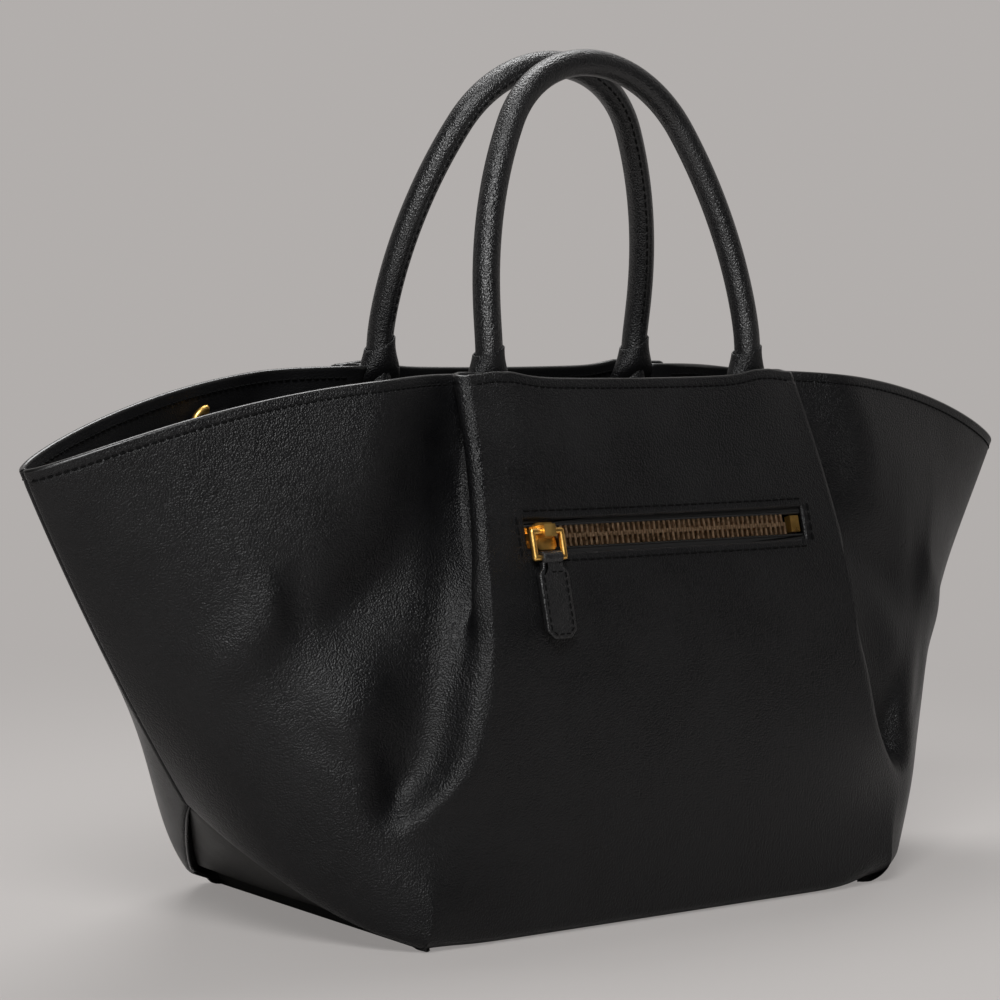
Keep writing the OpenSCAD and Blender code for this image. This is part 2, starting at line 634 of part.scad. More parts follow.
module strap_ring() {
    color(brass_colour) ring_frame() translate([0, loop_y, 0]) union() {
        translate([0, 0, -ring_half]) cylinder(r = ring_wire_r, h = 2 * ring_half);
        for (z = [-ring_half, ring_half]) translate([0, 0, z]) sphere(r = ring_wire_r);
        rotate([90, 0, 0]) rotate([0, 0, -90]) rotate_extrude(angle = 180)
            translate([ring_half, 0]) circle(r = ring_wire_r);
    }
}
module right_ring_tab() {
    to_back() ring_tab();
}
module left_ring_tab() {
    rotate([0, 0, 180]) ring_tab();
}
module right_strap_ring() {
    to_back() strap_ring();
}
module left_strap_ring() {
    rotate([0, 0, 180]) strap_ring();
}

front_panel();
back_panel();
base_panel();
front_facing();
back_facing();
front_lining();
back_lining();
base_lining();
base_board();
left_seam_binding();
right_seam_binding();
front_handle_cover();
front_handle_core();
back_handle_cover();
back_handle_core();
front_left_anchor();
front_right_anchor();
back_left_anchor();
back_right_anchor();
zip_tape_upper();
zip_tape_lower();
zip_teeth_upper();
zip_teeth_lower();
zip_end_block();
zip_top_stops();
zip_slider();
zip_slider_back();
zip_stirrup();
zip_pull();
pocket_bag();
left_ring_tab();
right_ring_tab();
left_strap_ring();
right_strap_ring();
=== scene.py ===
import math
import bmesh
import bpy
import numpy as np
from mathutils import Matrix, Vector


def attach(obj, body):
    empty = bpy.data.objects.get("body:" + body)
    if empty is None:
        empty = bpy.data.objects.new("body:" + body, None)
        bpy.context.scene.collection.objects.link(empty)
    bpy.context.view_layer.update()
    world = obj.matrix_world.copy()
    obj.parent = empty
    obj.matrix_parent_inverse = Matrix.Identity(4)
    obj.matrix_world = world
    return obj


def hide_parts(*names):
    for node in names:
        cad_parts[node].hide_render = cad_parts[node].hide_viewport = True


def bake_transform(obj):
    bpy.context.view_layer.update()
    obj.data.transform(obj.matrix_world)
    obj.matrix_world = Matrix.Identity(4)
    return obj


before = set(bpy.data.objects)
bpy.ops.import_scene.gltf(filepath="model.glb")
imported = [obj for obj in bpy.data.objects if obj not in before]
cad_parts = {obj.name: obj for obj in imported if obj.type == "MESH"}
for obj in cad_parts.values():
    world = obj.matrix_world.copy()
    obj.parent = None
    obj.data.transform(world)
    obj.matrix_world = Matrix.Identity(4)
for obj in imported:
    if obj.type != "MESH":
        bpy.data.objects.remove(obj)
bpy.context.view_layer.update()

MM = 0.001

# Driving sizes of the bag in millimetres, the same as those of the solids
TIP_HALF, TIP_H = 249, 175
RIM_H, RIM_SAG, RIM_BOW = 210, 1.5, 1.5
BASE_HALF_L, BASE_HALF_W, BASE_T = 121.5, 75, 2
GORE_HALF_L, GORE_H = 177, 48
PANEL_BOW, WING_BELLY, SIDE_BOW, CREASE_BOW = 17, 11, 3, 5
PLEAT_HALF, MOUTH_HALF, WING_MOUTH = 83, 44, 46
PLEAT_STOP, PLEAT_KICK, KICK_IN = 0.2, 16, 10
LEATHER_T, FACING_T, PLY = 1.4, 1.0, 0.3
SHELL_T = LEATHER_T + FACING_T
FOOT_HALF, FOOT_Y, HINGE_H = 67, 35, 222
HANDLE_RISE, CROWN_R, TUBE_R = 113.5, 50.5, 5.3
HANDLE_LEAN = 13
ZIP_X, ZIP_SHARE, WINDOW_L, WINDOW_W = 0, 0.725, 143.5, 13
RING_SHARE, RING_HEIGHT = 0.42, 0.93

# Sizes of what only the dressed bag has
ROLL_R, TUCK_R, TUCK = 4.2, 0.8, 5
STEP = 2 * (ROLL_R + TUCK_R)
SPREAD = 0.06
PLEAT_TURN = math.radians(8)
FACING_LOW = 0.82
FOOT_LIFT, FOOT_LIFT_REACH = 2.2, 12
WINDOW_LIFT, WINDOW_REACH = 0.2, 80
BOTTOM_TURN_R, SEAM_TURN_R, WINDOW_TURN_R = 4.0, 1.8, 1.2
RIM_LINE, RIM_LINE_DEPTH, RIM_LINE_REACH = 3.4, 0.25, 0.6
EDGE_STEPS, EDGE_BULGE = 5, 0.42
GORE_PROUD, PIPING_AND_SHADE_R, CORNER_COLS = 1.2, 0.75, 12
RIM_THREAD = {"pitch": 3.0, "length": 2.35, "radius": 0.4}
WINDOW_THREAD = {"pitch": 4.0, "length": 3.2, "radius": 0.42}
HANDLE_THREAD = {"pitch": 3.6, "length": 2.7, "radius": 0.4}
PULL_THREAD = {"pitch": 3.0, "length": 2.2, "radius": 0.3}


# Small functions on arrays

def ease(a, b, x):
    k = np.clip((x - a) / (b - a), 0, 1)
    return k * k * (3 - 2 * k)


def bell(x):
    return np.exp(-np.square(x))


def arc01(x):
    return 4 * x * (1 - x)


def lerp(a, b, k):
    return a + (b - a) * k


def xyz(x, y, z):
    return np.stack(np.broadcast_arrays(x, y, z), -1).astype(float)


def unit(v):
    return v / np.maximum(np.linalg.norm(v, axis=-1, keepdims=True), 1e-9)


def curve(xs, ys, blur=0.03):
    """A smooth function through rough points: their straight lines, blurred."""
    pad = 4 * blur
    grid = np.linspace(min(xs) - pad, max(xs) + pad, 801)
    step = grid[1] - grid[0]
    width = max(int(pad / step), 1)
    kernel = bell(np.arange(-width, width + 1) * step / blur)
    values = np.interp(grid, xs, ys)
    table = np.convolve(np.pad(values, width, mode="edge"), kernel / kernel.sum(), mode="valid")
    return lambda x: np.interp(x, grid, table)


# The bag's surface, front right quarter: s runs from the pleat to the side seam, t from base to rim

def crease(t, kick=1.0):
    g = kick * bell((t - PLEAT_STOP) / 0.085)
    x = lerp(BASE_HALF_L, PLEAT_HALF, t) - CREASE_BOW * arc01(t) + PLEAT_KICK * g
    y = -(lerp(BASE_HALF_W, MOUTH_HALF, t) + PANEL_BOW * arc01(t) - KICK_IN * g)
    return xyz(x, y, RIM_H * t)


def side(t):
    return xyz(lerp(GORE_HALF_L, TIP_HALF, t) + SIDE_BOW * arc01(t), 0, lerp(GORE_H, TIP_H, t))


def gore(s):
    return xyz(lerp(BASE_HALF_L, GORE_HALF_L, s), -BASE_HALF_W * (1 - s), GORE_H * np.power(s, 1.3))


def wing_rim(s):
    tuck = (WING_MOUTH - MOUTH_HALF) * (1 - ease(0, 0.16, s))
    return xyz(lerp(PLEAT_HALF, TIP_HALF, s), tuck - WING_MOUTH * np.sqrt(1 - s), lerp(RIM_H, TIP_H, s * s))


def closed(t):
    """Share by which a pleat is folded shut; lower down it opens into a valley."""
    return ease(0.42, 0.7, t)


ledge_start = curve([0, 0.1, 0.19, 0.405, 0.475, 0.515, 0.6], [0.2, 0.205, 0.23, 0.33, 0.405, 0.5, 0.7], 0.02)
ledge_run = curve([0, 0.2, 0.4], [0.07, 0.09, 0.16])
ledge_depth = curve([0, 0.07, 0.18, 0.3, 0.42, 0.52, 0.6], [14, 15, 13, 7, 3, 1.4, 0])
groove_line = curve([0.245, 0.33, 0.405, 0.5, 0.555, 0.635], [0.17, 0.405, 0.475, 0.515, 0.505, 0.485], 0.02)


def mound(s, t, at, size):
    """A soft round form on the wing, 1 high, with its place and its size along and up it."""
    return bell((s - at[0]) / size[0]) * bell((t - at[1]) / size[1])


def recess(s, t, look):
    """How far the wing lies inside its plain form: the pleat's valley and the soft buckles."""
    rise = ease(ledge_start(s), ledge_start(s) + ledge_run(s), t)
    fade = 1 - ease(0.62, 0.98, t) * ease(0.12, 0.3, s)
    ramp = lerp(1 - bell(s / 0.045), 1, closed(t))
    depth = lerp(ledge_depth(s), STEP * (1 - ease(0, 0.3, s)), ease(0.75, 1, t))
    near = depth * rise * fade * ramp
    hollow = look["hollow"] * mound(s, t, (-0.02, 0.77), (0.13, 0.16))
    valley = look["valley"] * mound(s, t, (0.31, 0.72 - 0.37 * s), (0.14, 0.085))
    blob = -look["blob"] * mound(s, t, (0.3, 0.41), (0.12, 0.075))
    groove = look["groove"] * bell((s - groove_line(t)) / 0.07)
    groove = groove * ease(0.2, 0.36, t) * (1 - ease(0.56, 0.76, t))
    ridge_line = 0.605 - (s - 0.51) * 0.65
    ridge = -look["ridge"] * bell((t - ridge_line) / 0.075) * ease(0.46, 0.56, s) * (1 - ease(0.7, 0.86, s))
    return near + hollow + valley + blob + groove + ridge


def plain_wing(s, t):
    """The wing between its four edges, with its belly but without valley or buckles."""
    s, t = np.broadcast_arrays(np.asarray(s, float), np.asarray(t, float))
    a, b = s[..., None], t[..., None]
    edges = (1 - a) * crease(t, 0) + a * side(t) + (1 - b) * gore(s) + b * wing_rim(s)
    edges = edges - (1 - a) * (1 - b) * gore(0) - a * (1 - b) * gore(1)
    edges = edges - (1 - a) * b * crease(1, 0) - a * b * side(1)
    kick = (1 - ease(0, 0.5, a)) * (crease(t, 1) - crease(t, 0))
    full = WING_BELLY * arc01(s) * np.sin(math.pi * np.power(t, 0.42))
    return edges + kick + full[..., None] * np.array([0.75, -0.6, -0.25])


def wing(s, t, look):
    s, t = np.broadcast_arrays(np.asarray(s, float), np.asarray(t, float))
    sway = 0.5 * np.sin(9 * s + 5 * t + look["phase"]) * np.sin(7 * t - 4 * s) * arc01(s) * arc01(t)
    inward = recess(s, t, look) + sway
    return plain_wing(s, t) + inward[..., None] * np.array([-0.16, 0.98, 0])


def middle(q, t):
    """The middle panel; q runs from 0 in the middle to 1 at the pleat, even in x where the zip is."""
    q, t = np.broadcast_arrays(np.asarray(q, float), np.asarray(t, float))
    fold = crease(t, 1)
    x = PLEAT_HALF * q + (fold[..., 0] - PLEAT_HALF) * ease(0.86, 1, q)
    a = x / fold[..., 0]
    flat_y = crease(t, 0)[..., 1] - RIM_BOW * t * t * (1 - a ** 8)
    lifted = FOOT_LIFT * bell((x - FOOT_HALF) / FOOT_LIFT_REACH) * np.power(t, 12)
    z = RIM_H * t - RIM_SAG * (1 - a * a) * t ** 6 + lifted
    return xyz(x, lerp(flat_y, fold[..., 1], a ** 4), z)


def panel_point(x, t):
    """The middle panel's outer face at a distance x along the bag."""
    q = np.linspace(0, 1, 400)
    at = middle(q, t)[..., 0]
    return middle(np.interp(abs(x), at, q), t) * [math.copysign(1, x), 1, 1]


def panel_centre(t):
    """The middle of the panel as the zip's solids take it, with the rim's sag shared out over the height."""
    return xyz(0, crease(t, 0)[..., 1] - RIM_BOW * t * t, (RIM_H - RIM_SAG) * t)


def roll_path(u):
    """Section of a closed pleat: steps along the bag and into it, u from the middle panel to the wing."""
    lengths = np.cumsum([0, math.pi * ROLL_R, TUCK, math.pi * TUCK_R, TUCK])
    d = np.asarray(u) * lengths[-1]
    turn = np.clip(d / ROLL_R, 0, math.pi)
    back = np.clip((d - lengths[2]) / TUCK_R, 0, math.pi)
    along = ROLL_R * np.sin(turn) - np.clip(d - lengths[1], 0, TUCK)
    along = along - TUCK_R * np.sin(back) + np.clip(d - lengths[3], 0, TUCK)
    inward = ROLL_R * (1 - np.cos(turn)) + TUCK_R * (1 - np.cos(back))
    return along, inward


def pleat(u, t, look):
    u, t = np.broadcast_arrays(np.asarray(u, float), np.asarray(t, float))
    along, inward = roll_path(u)
    fold_along = np.array([math.cos(PLEAT_TURN), math.sin(PLEAT_TURN), 0])
    fold_in = np.array([-math.sin(PLEAT_TURN), math.cos(PLEAT_TURN), 0])
    shut = crease(t, 1) + along[..., None] * fold_along + inward[..., None] * fold_in
    shut = shut + ease(0.55, 1, u)[..., None] * (wing(0, t, look) - crease(t, 1) - STEP * fold_in)
    return lerp(wing(SPREAD * u, t, look), shut, closed(t)[..., None])


# Frames of the zip and of a ring tab, where their solids are set

zip_rise = panel_centre(ZIP_SHARE + 0.01) - panel_centre(ZIP_SHARE - 0.01)
ZIP_TILT = math.atan2(zip_rise[1], zip_rise[2])
ZIP_AT = panel_centre(ZIP_SHARE) + np.array([ZIP_X, 0, 0])
ZIP_AXES = np.array([[1, 0, 0], [0, math.cos(ZIP_TILT), -math.sin(ZIP_TILT)],
                     [0, math.sin(ZIP_TILT), math.cos(ZIP_TILT)]])

RING_AT = plain_wing(RING_SHARE, RING_HEIGHT)
ring_up = unit(plain_wing(RING_SHARE, RING_HEIGHT + 0.02) - plain_wing(RING_SHARE, RING_HEIGHT - 0.02))
ring_out = unit(plain_wing(RING_SHARE + 0.02, RING_HEIGHT) - plain_wing(RING_SHARE - 0.02, RING_HEIGHT))
ring_in = unit(np.cross(ring_up, ring_out))
RING_AXES = np.array([ring_out, ring_in, np.cross(ring_out, ring_in)])


# Rows and columns of the sheets, close together where an edge is turned

def merged(*parts):
    return np.unique(np.round(np.concatenate([np.atleast_1d(p) for p in parts]), 6))


TURN_STEPS = np.array([0, 0.15, 0.35, 0.65, 1.0, 1.5])
WINDOW_HALF_T = WINDOW_W / 2 * math.cos(ZIP_TILT) / RIM_H
WINDOW_MID = (ZIP_SHARE * (RIM_H - RIM_SAG) + WINDOW_LIFT) / RIM_H
window_t = (WINDOW_MID - WINDOW_HALF_T, WINDOW_MID + WINDOW_HALF_T)
window_x = (ZIP_X - WINDOW_L / 2, ZIP_X + WINDOW_L / 2)
row_t = merged(np.linspace(0, 1, 106), TURN_STEPS * 2 / RIM_H, 1 - np.linspace(0, 6, 13) / RIM_H,
               window_t[0] - TURN_STEPS / RIM_H, window_t[1] + TURN_STEPS / RIM_H, window_t)
col_q = merged(np.linspace(0, 0.76, 20), np.linspace(0.86, 1, 26),
               (-window_x[0] + TURN_STEPS) / PLEAT_HALF, (window_x[1] + TURN_STEPS) / PLEAT_HALF)
col_u = np.linspace(0, 1, 31)[1:]
col_w = np.concatenate([np.linspace(0, 0.95, 78)[1:],
                        0.95 + 0.05 * (1 - (1 - np.linspace(0, 1, 13)[1:]) ** 2)])

# How deep the soft buckles are in each quarter, how far its pleat is softened and its bottom corner rounded
LOOK_NAMES = ("hollow", "valley", "blob", "groove", "ridge", "phase", "soft", "corner")
LOOKS = {
    "front_left": dict(zip(LOOK_NAMES, (8, 6.5, 4.0, 2.6, 2.4, 0.0, 4.2, 3))),
    "front_right": dict(zip(LOOK_NAMES, (8, 4.5, 1.5, 1.4, 1.8, 1.7, 2.4, 10))),
    "back_left": dict(zip(LOOK_NAMES, (8, 5.0, 2.0, 1.2, 1.4, 2.9, 3.5, 5))),
    "back_right": dict(zip(LOOK_NAMES, (9, 5.5, 2.2, 1.8, 2.0, 4.1, 3.5, 5))),
}


def blurred(grid, axis, width):
    """A grid smoothed along its rows or its columns, over a width in millimetres for each point."""
    if axis == 0:
        return blurred(grid.swapaxes(0, 1), 1, width.T).swapaxes(0, 1)
    d = path_length(grid, 1)
    room = np.gradient(d, axis=1)
    out = np.empty_like(grid)
    for k in range(len(grid)):
        apart = (d[k][:, None] - d[k][None, :]) / np.maximum(width[k], 1e-3)[:, None]
        share = bell(apart) * np.maximum(room[k], 1e-6)[None, :]
        out[k] = share @ grid[k] / share.sum(axis=1, keepdims=True)
    return out


def half_sheet(look):
    """From the middle of the bag over the pleat to the side seam, with the pleat's folds softened."""
    t = row_t[:, None]
    start = SPREAD * (1 - closed(t))
    grid = np.concatenate([middle(col_q[None, :], t), pleat(col_u[None, :], t, look),
                           wing(start + (1 - start) * col_w[None, :], t, look)], axis=1)
    near = np.concatenate([ease(0.9, 1, col_q), np.ones(len(col_u)), 1 - ease(0.45, 0.75, col_w)])
    width = look["soft"] * ease(0.07, 0.15, t) * (1 - ease(0.5, 0.72, t)) * near[None, :]
    for axis in (1, 0, 1):
        grid = blurred(grid, axis, width)
    return grid


def whole_sheet(face):
    """The outer surface of the front or back of the bag; the back's is still turned to the front."""
    right = half_sheet(LOOKS[face + "_right"])
    left = half_sheet(LOOKS[face + "_left"]) * [-1, 1, 1]
    return np.concatenate([left[:, :0:-1], right], axis=1)


def sheet_normals(grid):
    """Unit normals of a grid whose rows go up and whose columns go to the right: into the bag."""
    up = np.gradient(grid, axis=0)
    across = np.gradient(grid, axis=1)
    return unit(np.cross(up, across))


def turned(d, r):
    """How far an edge that is turned under with radius r falls back at distance d from it."""
    k = np.clip(1 - d / r, 0, 1)
    return r * (1 - np.sqrt(1 - k * k))


def corner_round(x, face):
    """How much more than elsewhere the bottom edge is rounded near the corners of the base."""
    corner = np.where(x > 0, LOOKS[face + "_right"]["corner"], LOOKS[face + "_left"]["corner"])
    return corner * bell((np.abs(x) - BASE_HALF_L + 4) / 17)


def flipped(points, face):
    """Carries points of the back, which is worked out as a second front, to the back."""
    return points * [1, -1, 1] if face == "back" else points


def path_length(grid, axis):
    """How far each point of a grid lies along its own row or column."""
    steps = np.linalg.norm(np.diff(grid, axis=axis), axis=-1)
    pad = [(1, 0), (0, 0)] if axis == 0 else [(0, 0), (1, 0)]
    return np.cumsum(np.pad(steps, pad), axis=axis)


# Meshes

def mesh_object(name, verts, faces, mats, slots=None):
    """Makes a smooth mesh from points in millimetres."""
    mesh = bpy.data.meshes.new(name)
    mesh.from_pydata((np.asarray(verts) * MM).tolist(), [], [list(map(int, f)) for f in faces])
    for mat in mats:
        mesh.materials.append(mat)
    if slots is not None:
        mesh.polygons.foreach_set("material_index", np.asarray(slots, dtype=np.int32))
    mesh.polygons.foreach_set("use_smooth", np.full(len(mesh.polygons), True))
    mesh.validate()
    mesh.update()
    obj = bpy.data.objects.new(name, mesh)
    bpy.context.scene.collection.objects.link(obj)
    return obj


def grid_quads(n, m, first=0, flip=False, wrap=False):
    """The quads of a grid with n rows and m columns; wrap joins the last column to the first."""
    i, j = np.meshgrid(np.arange(n - 1), np.arange(m if wrap else m - 1), indexing="ij")
    a, b = first + i * m + j, first + i * m + (j + 1) % m
    quads = np.stack([a, b, b + m, a + m], -1).reshape(-1, 4)
    return quads[:, ::-1] if flip else quads


def place(obj, replaces=(), body="bag"):
    """Sets the solids that a piece stands for and the body that it moves with."""
    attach(obj, body)
    if replaces:
        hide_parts(*replaces)


def carried_axes(path):
    """Two axes square to a path, carried along it without a twist."""
    tangent = unit(np.gradient(path, axis=0))
    helper = np.array([0, 0, 1.0]) if abs(tangent[0][2]) < 0.9 else np.array([0, 1.0, 0])
    axes = [unit(np.cross(tangent[0], helper))]
    for ahead in tangent[1:]:
        axes.append(unit(axes[-1] - ahead * np.dot(axes[-1], ahead)))
    return np.array(axes), np.cross(tangent, np.array(axes))


def tube(name, path, radius, mat, sides=16, frames=None, profile=None):
    """A tube along a path; profile gives the radius at each angle, and frames the two axes of its section."""
    path = np.asarray(path, float)
    a, b = frames or carried_axes(path)
    angle = np.linspace(0, 2 * math.pi, sides, endpoint=False)
    r = np.broadcast_to(radius, (len(path),))[:, None] * (profile(angle)[None, :] if profile else 1)
    rings = path[:, None] + a[:, None] * (np.cos(angle) * r)[..., None]
    rings = rings + b[:, None] * (np.sin(angle) * r)[..., None]
    faces = grid_quads(len(path), sides, wrap=True).tolist() + end_caps(len(path), sides)
    return mesh_object(name, rings.reshape(-1, 3), faces, [mat])


def end_caps(count, sides):
    """The two faces that close a stack of rings."""
    last = (count - 1) * sides
    return [list(range(sides))[::-1], list(range(last, last + sides))]


def resample(path, normals, pitch, inset):
    """Points at an even pitch along a path, with its directions and normals there."""
    d = np.concatenate([[0], np.cumsum(np.linalg.norm(np.diff(path, axis=0), axis=1))])

    def on_path(values, distance):
        return np.stack([np.interp(distance, d, values[:, k]) for k in range(3)], -1)

    count = max(int((d[-1] - 2 * inset) / pitch), 1)
    at = inset + (d[-1] - 2 * inset - (count - 1) * pitch) / 2 + np.arange(count) * pitch
    along = unit(on_path(path, at + 0.4) - on_path(path, at - 0.4))
    return on_path(path, at), along, unit(on_path(normals, at))


# Along a stitch, in shares of its length: place, lift and thickness, the last two in shares of its radius
STITCH_SHAPE = np.array([[-0.5, -0.45, 0.45], [-0.42, 0.02, 0.85], [-0.2, 0.3, 1],
                         [0.2, 0.3, 1], [0.42, 0.02, 0.85], [0.5, -0.45, 0.45]])
STITCH_SIDES = 6


def stitches(name, runs, pitch, length, radius):
    """Threads that dip into the leather at both ends; runs is a list of (path, outward normals)."""
    verts, faces = [], []
    angle = np.linspace(0, 2 * math.pi, STITCH_SIDES, endpoint=False)
    for path, normals in runs:
        points, along, n = resample(path, normals, pitch, inset=pitch * 0.4)
        across = unit(np.cross(n, along))
        for p, a, c, m in zip(points, along, across, n):
            first = len(verts)
            for k, lift, fat in STITCH_SHAPE:
                centre = p + a * k * length + m * lift * radius
                ring = centre + radius * fat * (np.cos(angle)[:, None] * c + np.sin(angle)[:, None] * m)
                verts.extend(ring)
            faces.extend(grid_quads(len(STITCH_SHAPE), STITCH_SIDES, first, flip=True, wrap=True).tolist())
    return mesh_object(name, verts, faces, [thread])


# Materials

def group(name, inputs, outputs):
    """A shader node group with named inputs at their usual values, and named outputs."""
    tree = bpy.data.node_groups.new(name, "ShaderNodeTree")
    for label, value in inputs.items():
        socket = tree.interface.new_socket(name=label, in_out="INPUT", socket_type="NodeSocketFloat")
        socket.default_value = value
    for label in outputs:
        tree.interface.new_socket(name=label, in_out="OUTPUT", socket_type="NodeSocketFloat")
    return tree, tree.nodes.new("NodeGroupInput"), tree.nodes.new("NodeGroupOutput")


def feed(tree, socket, source):
    """Gives an input a plain value, or joins it to the output of another node."""
    if isinstance(source, bpy.types.NodeSocket):
        tree.links.new(source, socket)
    else:
        socket.default_value = source


def add(tree, kind, inputs=(), **properties):
    """Adds a node; inputs gives, by name or place, a value or the output that feeds it."""
    made = tree.nodes.new("ShaderNode" + kind)
    for key, value in properties.items():
        setattr(made, key, value)
    for key, source in dict(inputs).items():
        feed(tree, made.inputs[key], source)
    return made


def math_node(tree, operation, *sources):
    return add(tree, "Math", enumerate(sources), operation=operation).outputs[0]


def spread(tree, source, low, high, to_low=0.0, to_high=1.0, **properties):
    """Maps the range from low to high onto another one."""
    values = (source, low, high, to_low, to_high)
    return add(tree, "MapRange", enumerate(values), **properties).outputs[0]


def object_place(tree):
    return add(tree, "TexCoord").outputs["Object"]


def leather_grain_group():
    """Pebbled leather: rounded cells of two sizes and a slow unevenness of tone."""
    tree, gin, gout = group("leather_grain", {"Cell": 1.0}, ["Height", "Tone"])
    at = object_place(tree)
    warp = add(tree, "TexNoise", {"Vector": at, "Scale": 220.0, "Detail": 2.0})
    shift = add(tree, "VectorMath", {0: warp.outputs["Color"], 1: (0.0011, 0.0011, 0.0011), 2: at},
                operation="MULTIPLY_ADD").outputs[0]
    rate = math_node(tree, "DIVIDE", 1000.0, gin.outputs["Cell"])
    cells = add(tree, "TexVoronoi", {"Vector": shift, "Scale": rate, "Smoothness": 0.35},
                feature="SMOOTH_F1")
    fine_rate = math_node(tree, "MULTIPLY", rate, 2.3)
    fine = add(tree, "TexVoronoi", {"Vector": shift, "Scale": fine_rate, "Smoothness": 0.5},
               feature="SMOOTH_F1")
    slow = add(tree, "TexNoise", {"Vector": at, "Scale": 38.0, "Detail": 3.0})
    mixed = math_node(tree, "MULTIPLY_ADD", fine.outputs["Distance"], 0.35, cells.outputs["Distance"])
    feed(tree, gout.inputs["Height"], math_node(tree, "MULTIPLY_ADD", mixed, -1.0, 1.0))
    feed(tree, gout.inputs["Tone"], slow.outputs["Fac"])
    return tree


# The scale at which the wave texture lays its threads about 1 mm apart
WAVE_SCALE = 2000 / 6.2832


def weave_group():
    """Plain weave: two crossed sets of threads of the given pitch in millimetres."""
    tree, gin, gout = group("weave", {"Pitch": 0.5}, ["Height"])
    rate = math_node(tree, "DIVIDE", WAVE_SCALE, gin.outputs["Pitch"])
    at = object_place(tree)
    sets = [add(tree, "TexWave", {"Vector": at, "Scale": rate, "Distortion": 0.4},
                wave_type="BANDS", bands_direction=way).outputs["Fac"] for way in ("X", "Z")]
    feed(tree, gout.inputs["Height"], math_node(tree, "MULTIPLY", *sets))
    return tree


def plate_wear_group():
    """Plated metal: patches that are handled more, and fine brushing."""
    tree, gin, gout = group("plate_wear", {"Patch": 160.0}, ["Wear", "Brushing"])
    at = object_place(tree)
    patches = add(tree, "TexNoise", {"Vector": at, "Scale": gin.outputs["Patch"], "Detail": 4.0})
    brushed = add(tree, "TexNoise", {"Vector": at, "Scale": 2400.0, "Detail": 2.0})
    feed(tree, gout.inputs["Wear"], patches.outputs["Fac"])
    feed(tree, gout.inputs["Brushing"], brushed.outputs["Fac"])
    return tree


GRAIN, WEAVE, PLATE_WEAR = leather_grain_group(), weave_group(), plate_wear_group()


def principled(name, color, roughness, metallic=0.0, specular=0.5):
    mat = bpy.data.materials.new(name)
    mat.use_nodes = True
    tree = mat.node_tree
    shader = tree.nodes["Principled BSDF"]
    for key, value in {"Base Color": (*color, 1), "Roughness": roughness, "Metallic": metallic,
                       "Specular IOR Level": specular}.items():
        feed(tree, shader.inputs[key], value)
    return mat, tree, shader


def dented(tree, shader, height, strength, depth):
    """Lets a height stand out of the surface, by a depth in metres."""
    bump = add(tree, "Bump", {"Strength": strength, "Distance": depth, "Height": height})
    feed(tree, shader.inputs["Normal"], bump.outputs[0])


def two_tones(tree, shader, share, first, second, places=(0.0, 1.0)):
    """Runs the base colour from one tone to another between two places of a value."""
    ramp = add(tree, "ValToRGB", {0: share})
    for stop, at, tone in zip(ramp.color_ramp.elements, places, (first, second)):
        stop.position = at
        stop.color = (*tone, 1)
    feed(tree, shader.inputs["Base Color"], ramp.outputs[0])


def leather(name, dark, light, roughness, cell=0.72, bump=0.55, specular=0.5):
    """Grained leather whose tone and gloss drift a little from place to place."""
    mat, tree, shader = principled(name, dark, roughness, specular=specular)
    grain = add(tree, "Group", {"Cell": cell}, node_tree=GRAIN)
    drift = grain.outputs["Tone"]
    tone = add(tree, "Mix", {0: spread(tree, drift, 0.35, 0.65), 6: (*dark, 1), 7: (*light, 1)},
               data_type="RGBA")
    feed(tree, shader.inputs["Base Color"], tone.outputs[2])
    gloss = spread(tree, drift, 0.25, 0.8, roughness - 0.05, roughness + 0.09)
    feed(tree, shader.inputs["Roughness"], gloss)
    dented(tree, shader, grain.outputs["Height"], bump, 0.0005)
    return mat


def woven(name, dark, light, pitch, bump=0.5, shine=0.4):
    """Cloth or thread with painted shade: its tone is darker between its threads, where the weave lies low.
    """
    mat, tree, shader = principled(name, dark, 0.85, specular=shine)
    weave = add(tree, "Group", {"Pitch": pitch}, node_tree=WEAVE)
    # Painted shade: the colour runs from the dark tone where the weave lies low to the light tone on the
    # threads' tops.
    two_tones(tree, shader, weave.outputs["Height"], dark, light)
    dented(tree, shader, weave.outputs["Height"], bump, 0.0002)
    return mat


def gold(name, color, worn, roughness, patch=160.0):
    """Gold-plated metal: polished, with faint brushing and a duller tone where it is handled."""
    mat, tree, shader = principled(name, color, roughness, metallic=1.0)
    plate = add(tree, "Group", {"Patch": patch}, node_tree=PLATE_WEAR)
    wear = plate.outputs["Wear"]
    two_tones(tree, shader, wear, worn, color, places=(0.35, 0.62))
    feed(tree, shader.inputs["Roughness"], spread(tree, wear, 0.3, 0.7, roughness * 0.75, roughness * 1.4))
    dented(tree, shader, plate.outputs["Brushing"], 0.12, 0.00005)
    return mat


DULL = 0.25
body_leather = leather("body_leather", (0.0026, 0.0026, 0.003), (0.0046, 0.0046, 0.005), 0.37, specular=DULL)
base_leather = leather("base_leather", (0.013, 0.013, 0.012), (0.018, 0.0176, 0.0166), 0.5,
                       cell=0.7, bump=0.45, specular=DULL)
handle_leather = leather("handle_leather", (0.0036, 0.0036, 0.004), (0.0062, 0.0062, 0.0066), 0.33,
                         cell=0.8, bump=0.5)
facing_leather = leather("facing_leather", (0.005, 0.005, 0.0055), (0.008, 0.008, 0.0085), 0.48,
                         cell=0.7, bump=0.35, specular=DULL)
edge_paint = leather("edge_paint", (0.004, 0.004, 0.004), (0.006, 0.006, 0.006), 0.3, cell=2.5, bump=0.12)
thread = woven("thread", (0.0008, 0.0008, 0.0009), (0.0035, 0.0035, 0.0037), 0.35, shine=0.12)
tape_cloth = woven("tape_cloth", (0.003, 0.003, 0.003), (0.009, 0.0085, 0.0085), 0.55)
lining_cloth = woven("lining_cloth", (0.012, 0.0115, 0.011), (0.024, 0.0225, 0.021), 0.5)
board_fibre = woven("board_fibre", (0.12, 0.1, 0.08), (0.2, 0.17, 0.13), 0.9, bump=0.2)
